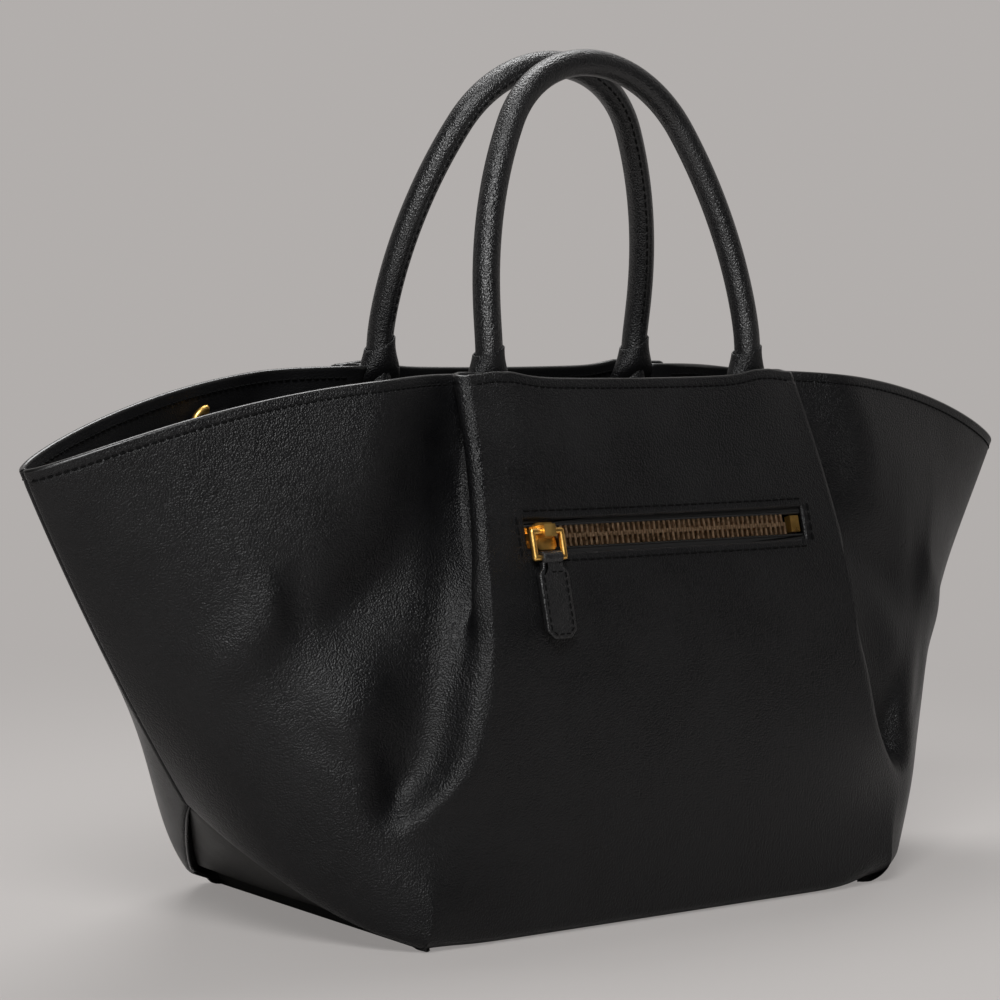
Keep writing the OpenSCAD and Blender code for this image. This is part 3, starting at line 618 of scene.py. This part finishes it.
gold_metal = gold("gold_metal", (0.88, 0.55, 0.16), (0.68, 0.38, 0.1), 0.32)
tooth_metal = gold("tooth_metal", (0.66, 0.45, 0.28), (0.5, 0.31, 0.17), 0.33, patch=900.0)


# The leather shell: outer leather, painted rim edge and facing in one closed skin

def shell_skins(face, grid, normals):
    """The shell's outer and inner skin, with edges turned under, and how far each point is from the rim."""
    up, across = path_length(grid, 0), path_length(grid, 1)
    seam = np.minimum(across, across[:, -1:] - across)
    x = grid[..., 0]
    under = turned(up, BOTTOM_TURN_R + corner_round(x[0:1], face))
    fall = under + turned(seam, SEAM_TURN_R)
    if face == "front":
        past_x = np.maximum(window_x[0] - x, x - window_x[1])
        past_t = np.maximum(window_t[0] - row_t, row_t - window_t[1])[:, None] * RIM_H
        near_window = np.hypot(np.maximum(past_x, 0), np.maximum(past_t, 0))
        fall = fall + turned(near_window, WINDOW_TURN_R) * (np.abs(x) < WINDOW_REACH)
    rim_d = up[-1:] - up
    rim_line = RIM_LINE_DEPTH * bell((rim_d - RIM_LINE) / RIM_LINE_REACH)
    outer = grid + normals * (fall + rim_line)[..., None]
    thick = lerp(LEATHER_T, SHELL_T, ease(FACING_LOW - 0.02, FACING_LOW, row_t))[:, None, None]
    inner = grid + normals * (thick + (under + np.minimum(fall - under, 1.0) * 0.3)[..., None])
    return outer, inner, rim_d


def rim_edge(outer_rim, inner_rim, rise):
    """Rows that carry the leather round over the rim."""
    turn = (math.pi * np.arange(1, EDGE_STEPS) / EDGE_STEPS)[:, None, None]
    return lerp(outer_rim, inner_rim, (1 - np.cos(turn)) / 2) + rise * np.sin(turn) * SHELL_T * EDGE_BULGE


def window_hole(x, total):
    """Which quads stay around the zip's window, and the walls that line it from skin to skin."""
    m = len(x)
    mid_x = (x[:-1] + x[1:]) / 2
    in_middle = np.abs(np.arange(m - 1) - (m - 1) / 2) <= len(col_q)
    inside_col = (mid_x > window_x[0]) & (mid_x < window_x[1]) & in_middle
    mid_t = (row_t[:-1] + row_t[1:]) / 2
    inside_row = (mid_t > window_t[0]) & (mid_t < window_t[1])
    cut_rows = np.zeros(total - 1, bool)
    cut_rows[:len(inside_row)] = inside_row
    cut_rows[-len(inside_row):] = inside_row[::-1]
    rows, cols = np.flatnonzero(inside_row), np.flatnonzero(inside_col)
    r0, r1, c0, c1 = rows[0], rows[-1] + 1, cols[0], cols[-1] + 1
    ring = [(r0, c) for c in range(c0, c1)] + [(r, c1) for r in range(r0, r1)]
    ring += [(r1, c) for c in range(c1, c0, -1)] + [(r, c0) for r in range(r1, r0, -1)]
    walls = [[r2 * m + c2, r * m + c, (total - 1 - r) * m + c, (total - 1 - r2) * m + c2]
             for (r, c), (r2, c2) in zip(ring, ring[1:] + ring[:1])]
    return ~np.outer(cut_rows, inside_col).ravel(), walls


def seam_walls(total, m):
    """The quads that close the shell's two ends, from skin to skin along the side seams."""
    walls = []
    for low in range((total - 1) // 2):
        high = total - 1 - low
        right = [high * m, (high - 1) * m, (low + 1) * m, low * m]
        walls.append(right[::-1])
        walls.append([corner + m - 1 for corner in right])
    return walls


def shell(face):
    """Makes one shell; returns its outer skin, the skin's normals and how far each point is from the rim."""
    grid = whole_sheet(face)
    normals = sheet_normals(grid)
    n, m = grid.shape[:2]
    outer, inner, rim_d = shell_skins(face, grid, normals)
    rise = unit(np.gradient(grid, axis=0)[-1])
    rings = np.concatenate([outer, rim_edge(outer[-1], inner[-1], rise), inner[::-1]], axis=0)
    total = len(rings)
    quads = grid_quads(total, m)
    row_of = np.repeat(np.arange(total - 1), m - 1)
    slots = np.where(row_of < n - 1, 0, np.where(row_of < n - 1 + EDGE_STEPS, 1, 2))
    keep, walls = np.ones(len(quads), bool), []
    if face == "front":
        keep, walls = window_hole(grid[0, :, 0], total)
    walls += seam_walls(total, m)
    faces = quads[keep].tolist() + walls
    slots = slots[keep].tolist() + [0] * len(walls)
    verts = flipped(rings.reshape(-1, 3), face)
    verts[:, 2] = np.maximum(verts[:, 2], 0)
    if face == "back":
        faces = [corners[::-1] for corners in faces]
    obj = mesh_object(face + "_shell", verts, faces, [body_leather, edge_paint, facing_leather], slots)
    place(obj, [face + "_panel", face + "_facing"])
    return outer, normals, rim_d


def rim_stitches(face, outer, normals, rim_d):
    """A row of stitches below the rim, outside and inside, broken where the pleats fold away."""
    last = outer.shape[1] - 1
    fold_from = last // 2 + len(col_q) - 1
    fold_to = fold_from + len(col_u)
    spans = [(0, last - fold_to), (last - fold_from, fold_from), (fold_to, last)]
    runs = []
    for depth, way in ((0, -1), (SHELL_T, 1)):
        for a, b in spans:
            path, out = [], []
            for c in range(a + 1, b):
                point = np.array([np.interp(-RIM_LINE, -rim_d[:, c], outer[:, c, axis]) for axis in range(3)])
                normal = normals[np.argmin(np.abs(rim_d[:, c] - RIM_LINE)), c]
                path.append(point + normal * depth)
                out.append(normal * way)
            runs.append((flipped(np.array(path), face), flipped(np.array(out), face)))
    place(stitches(face + "_rim_stitches", runs, **RIM_THREAD))


def gore_piping_and_shade(face, outer):
    """The dark folded edge in the seam between each gore and the panel above it, partly painted shade: the
    dark tube also stands for the shade in the seam's groove.
    """
    last = outer.shape[1] - 1
    first = last // 2 + len(col_q) + len(col_u) + CORNER_COLS
    for hand, cols in (("right", slice(first, -3)), ("left", slice(last - first, 2, -1))):
        path = flipped(outer[1, cols], face)
        size = PIPING_AND_SHADE_R * ease(-2, 12, np.arange(len(path)))
        # Painted shade: this dark tube darkens the seam line as the shade in its groove would, besides
        # standing for the folded edge.
        place(tube(f"{face}_{hand}_gore_piping_and_shade", path, size, edge_paint, sides=14))


bottom_edges = {}
for face in ("front", "back"):
    outer, normals, rim_d = shell(face)
    rim_stitches(face, outer, normals, rim_d)
    gore_piping_and_shade(face, outer)
    bottom_edges[face] = flipped(outer[0] - normals[0] * GORE_PROUD, face)


def window_stitches():
    """One row of stitches around the zip's window, through the leather and the tapes."""
    half_x = WINDOW_L / 2 + 3.5
    low, high = window_t[0] - 3.0 / RIM_H, window_t[1] + 3.2 / RIM_H
    corners = [(-half_x, high), (half_x, high), (half_x, low), (-half_x, low), (-half_x, high)]
    runs = []
    for (x0, t0), (x1, t1) in zip(corners, corners[1:]):
        steps = [(lerp(x0, x1, k), lerp(t0, t1, k)) for k in np.linspace(0, 1, 60)]
        path = np.array([panel_point(x, t) for x, t in steps])
        rise = np.array([panel_point(x, t + 0.002) for x, t in steps]) - path
        runs.append((path, unit(np.cross(np.array([1.0, 0, 0]), rise))))
    place(stitches("window_stitches", runs, **WINDOW_THREAD))


window_stitches()


# Lining behind the shell, straight past the pleats

def thickened(obj, thick, offset):
    """Gives a sheet its thickness in millimetres."""
    solid = obj.modifiers.new("thickness", "SOLIDIFY")
    solid.thickness = thick * MM
    solid.offset = offset


def lining(face):
    t = np.linspace(0.05, FACING_LOW + 0.01, 60)[:, None]
    q = np.linspace(0, 1, 26)[None, :]
    w = np.linspace(0, 1, 50)[None, 1:]
    room = 5.5 if face == "front" else 0.6
    swing = ease(0.78, 0.92, q)
    halves = []
    for hand in ("left", "right"):
        look = LOOKS[face + "_" + hand]
        mid = middle(q, t) + swing[..., None] * (wing(0.02, t, look) - middle(1, t))
        mid = mid + np.array([0, 1, 0]) * (room * (1 - swing) + 3 * swing * arc01(closed(t)))[..., None]
        half = np.concatenate([mid, wing(0.02 + 0.975 * w, t, look)], axis=1)
        halves.append(half * [-1, 1, 1] if hand == "left" else half)
    grid = np.concatenate([halves[0][:, :0:-1], halves[1]], axis=1)
    inner = grid + sheet_normals(grid) * (LEATHER_T + 2 * PLY)
    inner[..., 1] = np.minimum(inner[..., 1], -0.4)
    faces = grid_quads(*inner.shape[:2], flip=(face == "front"))
    cloth = mesh_object(face + "_lining_cloth", flipped(inner.reshape(-1, 3), face), faces, [lining_cloth])
    thickened(cloth, 0.5, -1)
    place(cloth, [face + "_lining"])


for face in ("front", "back"):
    lining(face)


# Base: a flat bottom whose ends rise into pointed gores, a little inside the folded edges of the panels

def unfolded(edge):
    """Keeps the bottom outline from turning back on itself at the corners of the base."""
    half = len(edge) // 2
    x = edge[:, 0].copy()
    x[half:] = np.minimum.accumulate(x[half:][::-1])[::-1]
    x[:half + 1] = np.maximum.accumulate(x[:half + 1])
    return np.stack([x, edge[:, 1], edge[:, 2]], -1)


def base_skin():
    front, back = unfolded(bottom_edges["front"]), unfolded(bottom_edges["back"])
    front[:, 1] = np.minimum(front[:, 1], -0.05)
    back[:, 1] = np.maximum(back[:, 1], 0.05)
    k = np.sin(np.linspace(-1, 1, 61) * math.pi / 2)[None, :, None]
    outer = lerp(front[:, None], back[:, None], (1 + k) / 2)
    reach = np.abs(outer[..., 0])
    puff = 1.6 * (1 - k[..., 0] ** 2) * ease(BASE_HALF_L, BASE_HALF_L + 20, reach)
    outer = outer + xyz(np.sign(outer[..., 0]) * puff * 0.6, 0, -puff * 0.8)
    outer[..., 2] = np.maximum(outer[..., 2], 0)
    inner = outer + np.array([0, 0, BASE_T])
    n, m = outer.shape[:2]
    verts = np.concatenate([outer.reshape(-1, 3), inner.reshape(-1, 3)])
    faces = grid_quads(n, m).tolist() + grid_quads(n, m, n * m, flip=True).tolist()
    ring = [(0, j) for j in range(m - 1)] + [(i, m - 1) for i in range(n - 1)]
    ring += [(n - 1, j) for j in range(m - 1, 0, -1)] + [(i, 0) for i in range(n - 1, 0, -1)]
    index = [i * m + j for i, j in ring]
    for a, b in zip(index, index[1:] + index[:1]):
        faces.append([b, a, a + n * m, b + n * m])
    place(mesh_object("base_skin", verts, faces, [base_leather]), ["base_panel"])


base_skin()


# Handles: a rolled tube with a stitched seam on the side that faces the other handle

LEG_DOWN, LEG_STEPS = 26, 16
LEAN_SOFT = 9.0
SEAM_TURN = -0.3


def handle_path(face):
    """Centre line from one foot, over the crown, to the other, with the two axes of its section."""
    side_r = (FOOT_HALF ** 2 + (HANDLE_RISE - CROWN_R) ** 2 - CROWN_R ** 2) / (2 * (FOOT_HALF - CROWN_R))
    turn = math.atan2(HANDLE_RISE - CROWN_R, side_r - FOOT_HALF)
    a = np.linspace(0, turn, 60)[1:-1]
    b = np.linspace(turn, math.pi - turn, 90)
    up_x = np.concatenate([np.full(LEG_STEPS, FOOT_HALF), FOOT_HALF - side_r + side_r * np.cos(a)])
    up_h = np.concatenate([np.linspace(-LEG_DOWN, 0, LEG_STEPS), side_r * np.sin(a)])
    x = np.concatenate([up_x, CROWN_R * np.cos(b), -up_x[::-1]])
    h = np.concatenate([up_h, HANDLE_RISE - CROWN_R + CROWN_R * np.sin(b), up_h[::-1]])
    g = (h + np.hypot(h, LEAN_SOFT)) / 2 - LEAN_SOFT / 2
    lean = math.radians(HANDLE_LEAN)
    sign = 1 if face == "front" else -1
    path = xyz(x, sign * (-FOOT_Y + math.sin(lean) * g), HINGE_H + np.where(h > 0, h * math.cos(lean), h))
    tangent = unit(np.gradient(path, axis=0))
    toward = unit(np.cross(tangent, np.cross(np.array([0.0, sign, 0.0]), tangent)))
    return path, toward, np.cross(tangent, toward)


def roll_section(angle):
    """The handle's radius round its section: it swells to the seam, which lies in a narrow groove."""
    wrapped = (angle + math.pi) % (2 * math.pi) - math.pi
    return 1 + 0.055 * bell(wrapped / 0.34) - 0.12 * bell(wrapped / 0.075)


def handle(face):
    path, toward, other = handle_path(face)
    roll = tube(face + "_handle_roll", path, TUBE_R, handle_leather, sides=64, frames=(toward, other),
                profile=roll_section)
    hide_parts(face + "_handle_cover", face + "_handle_core")
    out = toward * math.cos(SEAM_TURN) + other * math.sin(SEAM_TURN)
    free = slice(LEG_STEPS + 2, -LEG_STEPS - 2)
    run = ((path + out * (TUBE_R * 1.02))[free], out[free])
    seam = stitches(face + "_handle_stitches", [run], **HANDLE_THREAD)
    for piece in (roll, seam):
        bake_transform(piece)


for face in ("front", "back"):
    handle(face)


# Anchors: each foot is wrapped in a leather tab that widens downward inside the rim

ANCHOR_TOP, ANCHOR_LOW = 219.3, 181.0
ANCHOR_HALF_W, ANCHOR_HALF_T = 10.8, 1.9
ANCHOR_OUT, SLEEVE_T = 13.5, 0.8
# How the sleeve's lip turns in to the handle: share of the way to its middle, and height
LIP_STEPS = ((0.13, -2), (0.12, 0.1), (0.09, 0.35), (0.04, 0.3))


def anchor(face, hand):
    way, sign = (1 if hand == "right" else -1), (-1 if face == "front" else 1)
    angle = np.linspace(0, 2 * math.pi, 48, endpoint=False)[None, :]
    k = np.linspace(0, 1, 30)[:, None]
    slant = 3.2 if face == "back" else 2.2
    z = lerp(ANCHOR_TOP + slant * np.cos(angle), ANCHOR_LOW, k)
    half_x = lerp(TUBE_R + SLEEVE_T, ANCHOR_HALF_W, ease(220, 203, z))
    half_y = lerp(TUBE_R + SLEEVE_T, ANCHOR_HALF_T, ease(214, 190, z))
    lean_out = sign * lerp(0, ANCHOR_OUT, ease(212, ANCHOR_LOW, z))
    x = way * FOOT_HALF + half_x * np.cos(angle)
    y = sign * FOOT_Y + lean_out + half_y * np.sin(angle)
    rings = xyz(x, y, z)
    inward = (np.array([way * FOOT_HALF, sign * FOOT_Y, 0]) - rings[0]) * [1, 1, 0]
    lip = [rings[0] + inward * share + np.array([0, 0, h]) for share, h in LIP_STEPS]
    rings = np.concatenate([np.array(lip), rings], axis=0)
    count, sides = rings.shape[:2]
    faces = grid_quads(count, sides, wrap=True, flip=True).tolist()
    faces.append(end_caps(count, sides)[1][::-1])
    obj = mesh_object(f"{face}_{hand}_anchor_tab", rings.reshape(-1, 3), faces, [body_leather])
    place(obj, [f"{face}_{hand}_anchor"])


for face in ("front", "back"):
    for hand in ("left", "right"):
        anchor(face, hand)


# Small soft pieces: slabs with rounded edges, each drawn in the frame of what it belongs to

SLIDER_X, PULL_Y, BAR_Z = -64.05, -2.4, -8.5
PULL_L, PULL_W, PULL_T, PULL_NECK, SHOULDER = 31, 14, 2.4, 9.6, 6
BAR_LOOP_R = 2.55
PULL_SEAM_IN, PULL_CROWN = 1.7, 0.15
TAPE_L, TAPE_W, TAPE_T, TAPE_Y, TAPE_EDGE = 151.5, 28, 0.8, 2.15, 4.1
TAB_L, TAB_W, TAB_WALL, TAB_Y, TAB_LOOP_Y = 15, 6.6, 1.1, 3.45, 6.25
BINDING_W, BINDING_T, BINDING_IN = 7, 1.2, 4.3
POCKET_HALF_L, POCKET_FRONT, POCKET_BACK = 64, 3.75, 5.2


def in_zip(points):
    return np.asarray(points, float) @ ZIP_AXES + ZIP_AT


def in_ring(hand):
    """Places points of a ring tab's frame; the tabs sit on the back, so the front's frame is turned round."""
    turn = np.array([-1, -1, 1]) if hand == "left" else np.array([1, -1, 1])
    return lambda points: (np.asarray(points, float) @ RING_AXES + RING_AT) * turn


def rounded_outline(corners, cut):
    """A closed outline whose corners are rounded by about the given length."""
    corners = np.asarray(corners, float)
    points = []
    for k, c in enumerate(corners):
        before, after = corners[k - 1] - c, corners[(k + 1) % len(corners)] - c
        reach = [min(cut, 0.45 * np.linalg.norm(v)) for v in (before, after)]
        a, b = c + unit(before) * reach[0], c + unit(after) * reach[1]
        for h in np.linspace(0, 1, 6):
            points.append(lerp(lerp(a, c, h), lerp(c, b, h), h))
    return np.array(points)


def box_corners(left, right, low, high):
    return [(left, high), (left, low), (right, low), (right, high)]


def inset_outline(outline, d):
    ahead, behind = np.roll(outline, -1, 0) - outline, outline - np.roll(outline, 1, 0)
    along = unit(unit(ahead) + unit(behind))
    return outline + np.stack([-along[:, 1], along[:, 0]], -1) * d


def face_outward(obj):
    """Turns the faces of a closed piece outward."""
    shape = bmesh.new()
    shape.from_mesh(obj.data)
    bmesh.ops.recalc_face_normals(shape, faces=shape.faces)
    shape.to_mesh(obj.data)
    shape.free()
    return obj


def slab(name, outline, y_out, thick, edge, put, mat, crown=0.0):
    """A flat piece with rounded edges; its outline runs anticlockwise in x and z, put places its points."""
    turns = [math.pi / 2 * k / 3 for k in range(4)]
    layers = [(edge * (1 - math.sin(a)), y_out + edge * (1 - math.cos(a))) for a in turns]
    layers += [(d, 2 * y_out + thick - y) for d, y in layers[::-1]]
    layers.insert(0, (edge + min(1.5, edge * 3), y_out - crown))
    rings = []
    for d, y in layers:
        flat = inset_outline(outline, d)
        rings.append(xyz(flat[:, 0], y, flat[:, 1]))
    count, sides = len(rings), len(outline)
    faces = grid_quads(count, sides, wrap=True).tolist() + end_caps(count, sides)
    return face_outward(mesh_object(name, put(np.concatenate(rings)), faces, [mat]))


def small_roll(name, half, radius, shoulder, ends, put):
    """A short roll of leather that rounds off to both ends; put places the distances along it."""
    reach = np.array([-1, -shoulder, -0.85, 0.85, shoulder, 1]) * half
    size = np.array([*ends, 1, 1, *ends[::-1]]) * radius
    return tube(name, put(reach), size, handle_leather, sides=28)


def pull():
    half, neck, cut = PULL_W / 2, PULL_NECK / 2, PULL_W * 0.22
    left = [(-neck, 0), (-neck, 2 - SHOULDER), (-half, -SHOULDER), (-half, cut - PULL_L),
            (cut - half, -PULL_L)]
    corners = left + [(-x, z) for x, z in left[::-1]]
    bar = np.array([SLIDER_X, PULL_Y, BAR_Z])
    body = slab("zip_pull_leather", rounded_outline(corners, 0.9), -PULL_T / 2, PULL_T, 0.55,
                lambda points: in_zip(points + bar), handle_leather, crown=PULL_CROWN)
    loop = small_roll("zip_pull_loop", neck, BAR_LOOP_R, 0.97, (0.72, 0.92),
                      lambda reach: in_zip(xyz(reach, 0, 0) + bar))
    seam = inset_outline(rounded_outline(corners[1:-1], 0.9), PULL_SEAM_IN)
    seam = np.concatenate([seam, seam[:1]])
    path = in_zip(xyz(seam[:, 0], -PULL_T / 2 - 0.1, seam[:, 1]) + bar)
    out = np.tile(-ZIP_AXES[1], (len(path), 1))
    row = stitches("zip_pull_stitches", [(path, out)], **PULL_THREAD)
    place(body, ["zip_pull"], "zip_pull")
    place(loop, body="zip_pull")
    place(row, body="zip_pull")


def zip_tapes():
    reach = np.linspace(-1, 1, 60) * WINDOW_L / 2
    for level, way in (("upper", 1), ("lower", -1)):
        low, high = sorted((way * TAPE_EDGE, way * TAPE_W / 2))
        outline = rounded_outline(box_corners(-TAPE_L / 2, TAPE_L / 2, low, high), 0.3)
        tape = slab(f"zip_tape_{level}_cloth", outline, TAPE_Y, TAPE_T, 0.25, in_zip, tape_cloth)
        place(tape, [f"zip_tape_{level}"])
        path = in_zip(xyz(reach, TAPE_Y + 0.15, way * (TAPE_EDGE + 0.35)))
        place(tube(f"zip_bead_{level}", path, 0.5, tape_cloth, sides=12))


def ring_tab(hand):
    put = in_ring(hand)
    outline = rounded_outline(box_corners(-TAB_L, 0, -TAB_W / 2, TAB_W / 2), 0.8)
    plate = slab(f"{hand}_ring_tab_strap", outline, TAB_Y, 2 * TAB_WALL, 0.5, put, handle_leather)
    loop = small_roll(f"{hand}_ring_tab_roll", TAB_W / 2, TAB_LOOP_Y - TAB_Y, 0.95, (0.8, 0.94),
                      lambda reach: put(xyz(0, TAB_LOOP_Y, reach)))
    place(plate, [f"{hand}_ring_tab"])
    place(loop)


def strip_section(angle):
    """Radius of the binding's flat section with rounded edges."""
    across, through = np.abs(np.cos(angle)) / (BINDING_W / 2), np.abs(np.sin(angle)) / (BINDING_T / 2)
    return 1 / (across ** 4 + through ** 4) ** 0.25


def seam_binding(hand):
    """The bound edges of a side seam: a folded strip that stands inward along it."""
    path = side(lerp(0.08, 1, np.linspace(0, 1, 40))) - [BINDING_IN + BINDING_W / 2, 0, 0]
    if hand == "left":
        path = path * [-1, 1, 1]
    axes = [np.tile(axis, (len(path), 1)) for axis in ([1.0, 0, 0], [0, 1.0, 0])]
    strip = tube(f"{hand}_seam_strip", path, 1.0, lining_cloth, sides=24, frames=axes, profile=strip_section)
    place(strip, [f"{hand}_seam_binding"])


def base_layer(name, inset, round_r, low, thick, edge, mat):
    """A flat layer that lies on the base, a little smaller than it."""
    half_l, half_w = BASE_HALF_L - inset, BASE_HALF_W - inset
    outline = rounded_outline(box_corners(-half_l, half_l, -half_w, half_w), round_r)
    return slab(name, outline, low, thick, edge, lambda points: points[:, [0, 2, 1]], mat)


def pocket():
    """The pocket behind the zip: one length of lining folded at the bottom."""
    fold, middle_d = 0.36, (POCKET_FRONT + POCKET_BACK) / 2
    turn = (POCKET_BACK - POCKET_FRONT) * 0.3
    rows = [(t, POCKET_FRONT) for t in (0.67, 0.58, 0.5, fold + 0.04)]
    rows += [(fold + 0.01, middle_d - turn), (fold, middle_d), (fold + 0.01, middle_d + turn)]
    rows += [(t, POCKET_BACK) for t in (fold + 0.04, 0.5, 0.58, 0.68, ZIP_SHARE + 0.07)]
    x = np.linspace(-POCKET_HALF_L, POCKET_HALF_L, 49)
    grid = []
    for t, d in rows:
        line = np.array([panel_point(a, t) for a in x])
        rise = np.array([panel_point(a, t + 0.01) for a in x]) - line
        grid.append(line + unit(np.cross(rise, np.array([1.0, 0, 0]))) * d)
    cloth = mesh_object("pocket_cloth", np.concatenate(grid), grid_quads(len(rows), len(x)), [lining_cloth])
    thickened(cloth, 0.4, 0)
    place(cloth, ["pocket_bag"])


pull()
zip_tapes()
place(base_layer("base_lining_cloth", 7.9, 20, 4.1, 0.5, 0.2, lining_cloth), ["base_lining"])
place(base_layer("base_board_sheet", 4.9, 22, 2.3, 1.5, 0.3, board_fibre), ["base_board"])
pocket()
for hand in ("left", "right"):
    ring_tab(hand)
    seam_binding(hand)


# Metal keeps its solids and gets better materials

def repaint(node, mat, edge=0.0):
    """Gives a solid a new material and, where edge isn't 0, breaks its sharp edges by that much."""
    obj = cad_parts[node]
    obj.data.materials.clear()
    obj.data.materials.append(mat)
    if edge:
        bevel = obj.modifiers.new("edges", "BEVEL")
        bevel.width = edge * MM
        bevel.segments = 3
        bevel.limit_method = "ANGLE"
        bevel.angle_limit = math.radians(40)
        bevel.harden_normals = True


for node in ("zip_teeth_upper", "zip_teeth_lower"):
    repaint(node, tooth_metal, 0.5)
for node in ("zip_end_block", "zip_top_stops", "zip_slider", "zip_slider_back"):
    repaint(node, gold_metal, 0.3)
for node in ("zip_stirrup", "left_strap_ring", "right_strap_ring"):
    repaint(node, gold_metal)


# Floor, light and camera

BACKDROP = (0.445, 0.424, 0.413)
FLOOR_HALF = 6000
BEHIND = (0.6, 0.75, 0.1)


def backdrop_floor():
    """Pale floor in the backdrop's colour: it takes the bag's shadow near it and is even further out."""
    mat, tree, shader = principled("floor_grey", BACKDROP, 0.9)
    even = add(tree, "Emission", {"Color": (*BACKDROP, 1)})
    reach = add(tree, "VectorMath", {0: object_place(tree)}, operation="LENGTH").outputs["Value"]
    near = spread(tree, reach, 0.15, 0.75, 0.45, 0.0, interpolation_type="SMOOTHSTEP")
    camera_ray = add(tree, "LightPath").outputs["Is Camera Ray"]
    share = math_node(tree, "MAXIMUM", near, math_node(tree, "SUBTRACT", 1.0, camera_ray))
    mixed = add(tree, "MixShader", {0: share, 1: even.outputs[0], 2: shader.outputs[0]})
    feed(tree, tree.nodes["Material Output"].inputs["Surface"], mixed.outputs[0])
    corners = [[x * FLOOR_HALF, y * FLOOR_HALF, 0] for x, y in ((-1, -1), (1, -1), (1, 1), (-1, 1))]
    floor = mesh_object("floor", corners, [[0, 1, 2, 3]], [mat])


def area_light(name, place_mm, aim_mm, width, height, watts):
    data = bpy.data.lights.new(name, "AREA")
    data.shape = "RECTANGLE"
    data.size, data.size_y = width * MM, height * MM
    data.energy = watts
    obj = bpy.data.objects.new(name, data)
    bpy.context.scene.collection.objects.link(obj)
    obj.location = Vector(place_mm) * MM
    obj.rotation_euler = (Vector(aim_mm) - Vector(place_mm)).to_track_quat("-Z", "Y").to_euler()


def studio_world():
    """A room that is dark in front of the bag; the camera and mirrors that face the backdrop see that."""
    world = bpy.data.worlds.new("studio")
    bpy.context.scene.world = world
    world.use_nodes = True
    tree = world.node_tree
    tree.nodes.clear()
    where = add(tree, "TexCoord").outputs["Generated"]
    behind = add(tree, "VectorMath", {0: where, 1: BEHIND}, operation="DOT_PRODUCT").outputs["Value"]
    glow = spread(tree, behind, -0.1, 0.9, 0.012, 0.6, interpolation_type="SMOOTHSTEP")
    room = add(tree, "Background", {0: glow})
    plain = add(tree, "Background", {0: (*BACKDROP, 1)})
    ray = add(tree, "LightPath")
    mirror = math_node(tree, "MAXIMUM", ray.outputs["Is Glossy Ray"], ray.outputs["Is Transmission Ray"])
    facing = spread(tree, behind, -0.1, 0.6, interpolation_type="SMOOTHSTEP")
    mirrored = math_node(tree, "MULTIPLY", mirror, facing)
    shown = math_node(tree, "MAXIMUM", ray.outputs["Is Camera Ray"], mirrored)
    mixed = add(tree, "MixShader", {0: shown, 1: room.outputs[0], 2: plain.outputs[0]})
    add(tree, "OutputWorld", {0: mixed.outputs[0]})


backdrop_floor()
area_light("key_light", (-850, -900, 1250), (-60, 0, 130), 650, 650, 26)
area_light("top_light", (250, 500, 1400), (0, 0, 150), 900, 600, 18)
area_light("fill_light", (-1250, -1000, 260), (-40, 0, 120), 500, 500, 2.5)
studio_world()

# The camera as fitted to the rim, the base and the handles in the photograph
AZIMUTH, PITCH, ROLL = math.radians(-38.53), math.radians(4.85), math.radians(1.41)
FOCAL_PX, PHOTO_PX, SENSOR, DISTANCE = 3116.2, 1000, 36, 1261.8
AIM_RIGHT, AIM_H = -24.9, 156.6
level = Vector((math.cos(AZIMUTH), math.sin(AZIMUTH), 0))
inward = Vector((-math.sin(AZIMUTH), math.cos(AZIMUTH), 0))
forward = inward * math.cos(PITCH) - Vector((0, 0, math.sin(PITCH)))
upright = level.cross(forward)
rightward = level * math.cos(ROLL) + upright * math.sin(ROLL)
upward = upright * math.cos(ROLL) - level * math.sin(ROLL)
eye = (level * AIM_RIGHT + Vector((0, 0, AIM_H)) - forward * DISTANCE) * MM
camera_data = bpy.data.cameras.new("camera")
camera_data.sensor_width = SENSOR
camera_data.lens = SENSOR * FOCAL_PX / PHOTO_PX
camera_data.clip_end = 50
camera = bpy.data.objects.new("camera", camera_data)
bpy.context.scene.collection.objects.link(camera)
camera.matrix_world = Matrix.Translation(eye) @ Matrix((rightward, upward, -forward)).transposed().to_4x4()
bpy.context.scene.camera = camera
bpy.context.scene.view_settings.view_transform = "Standard"
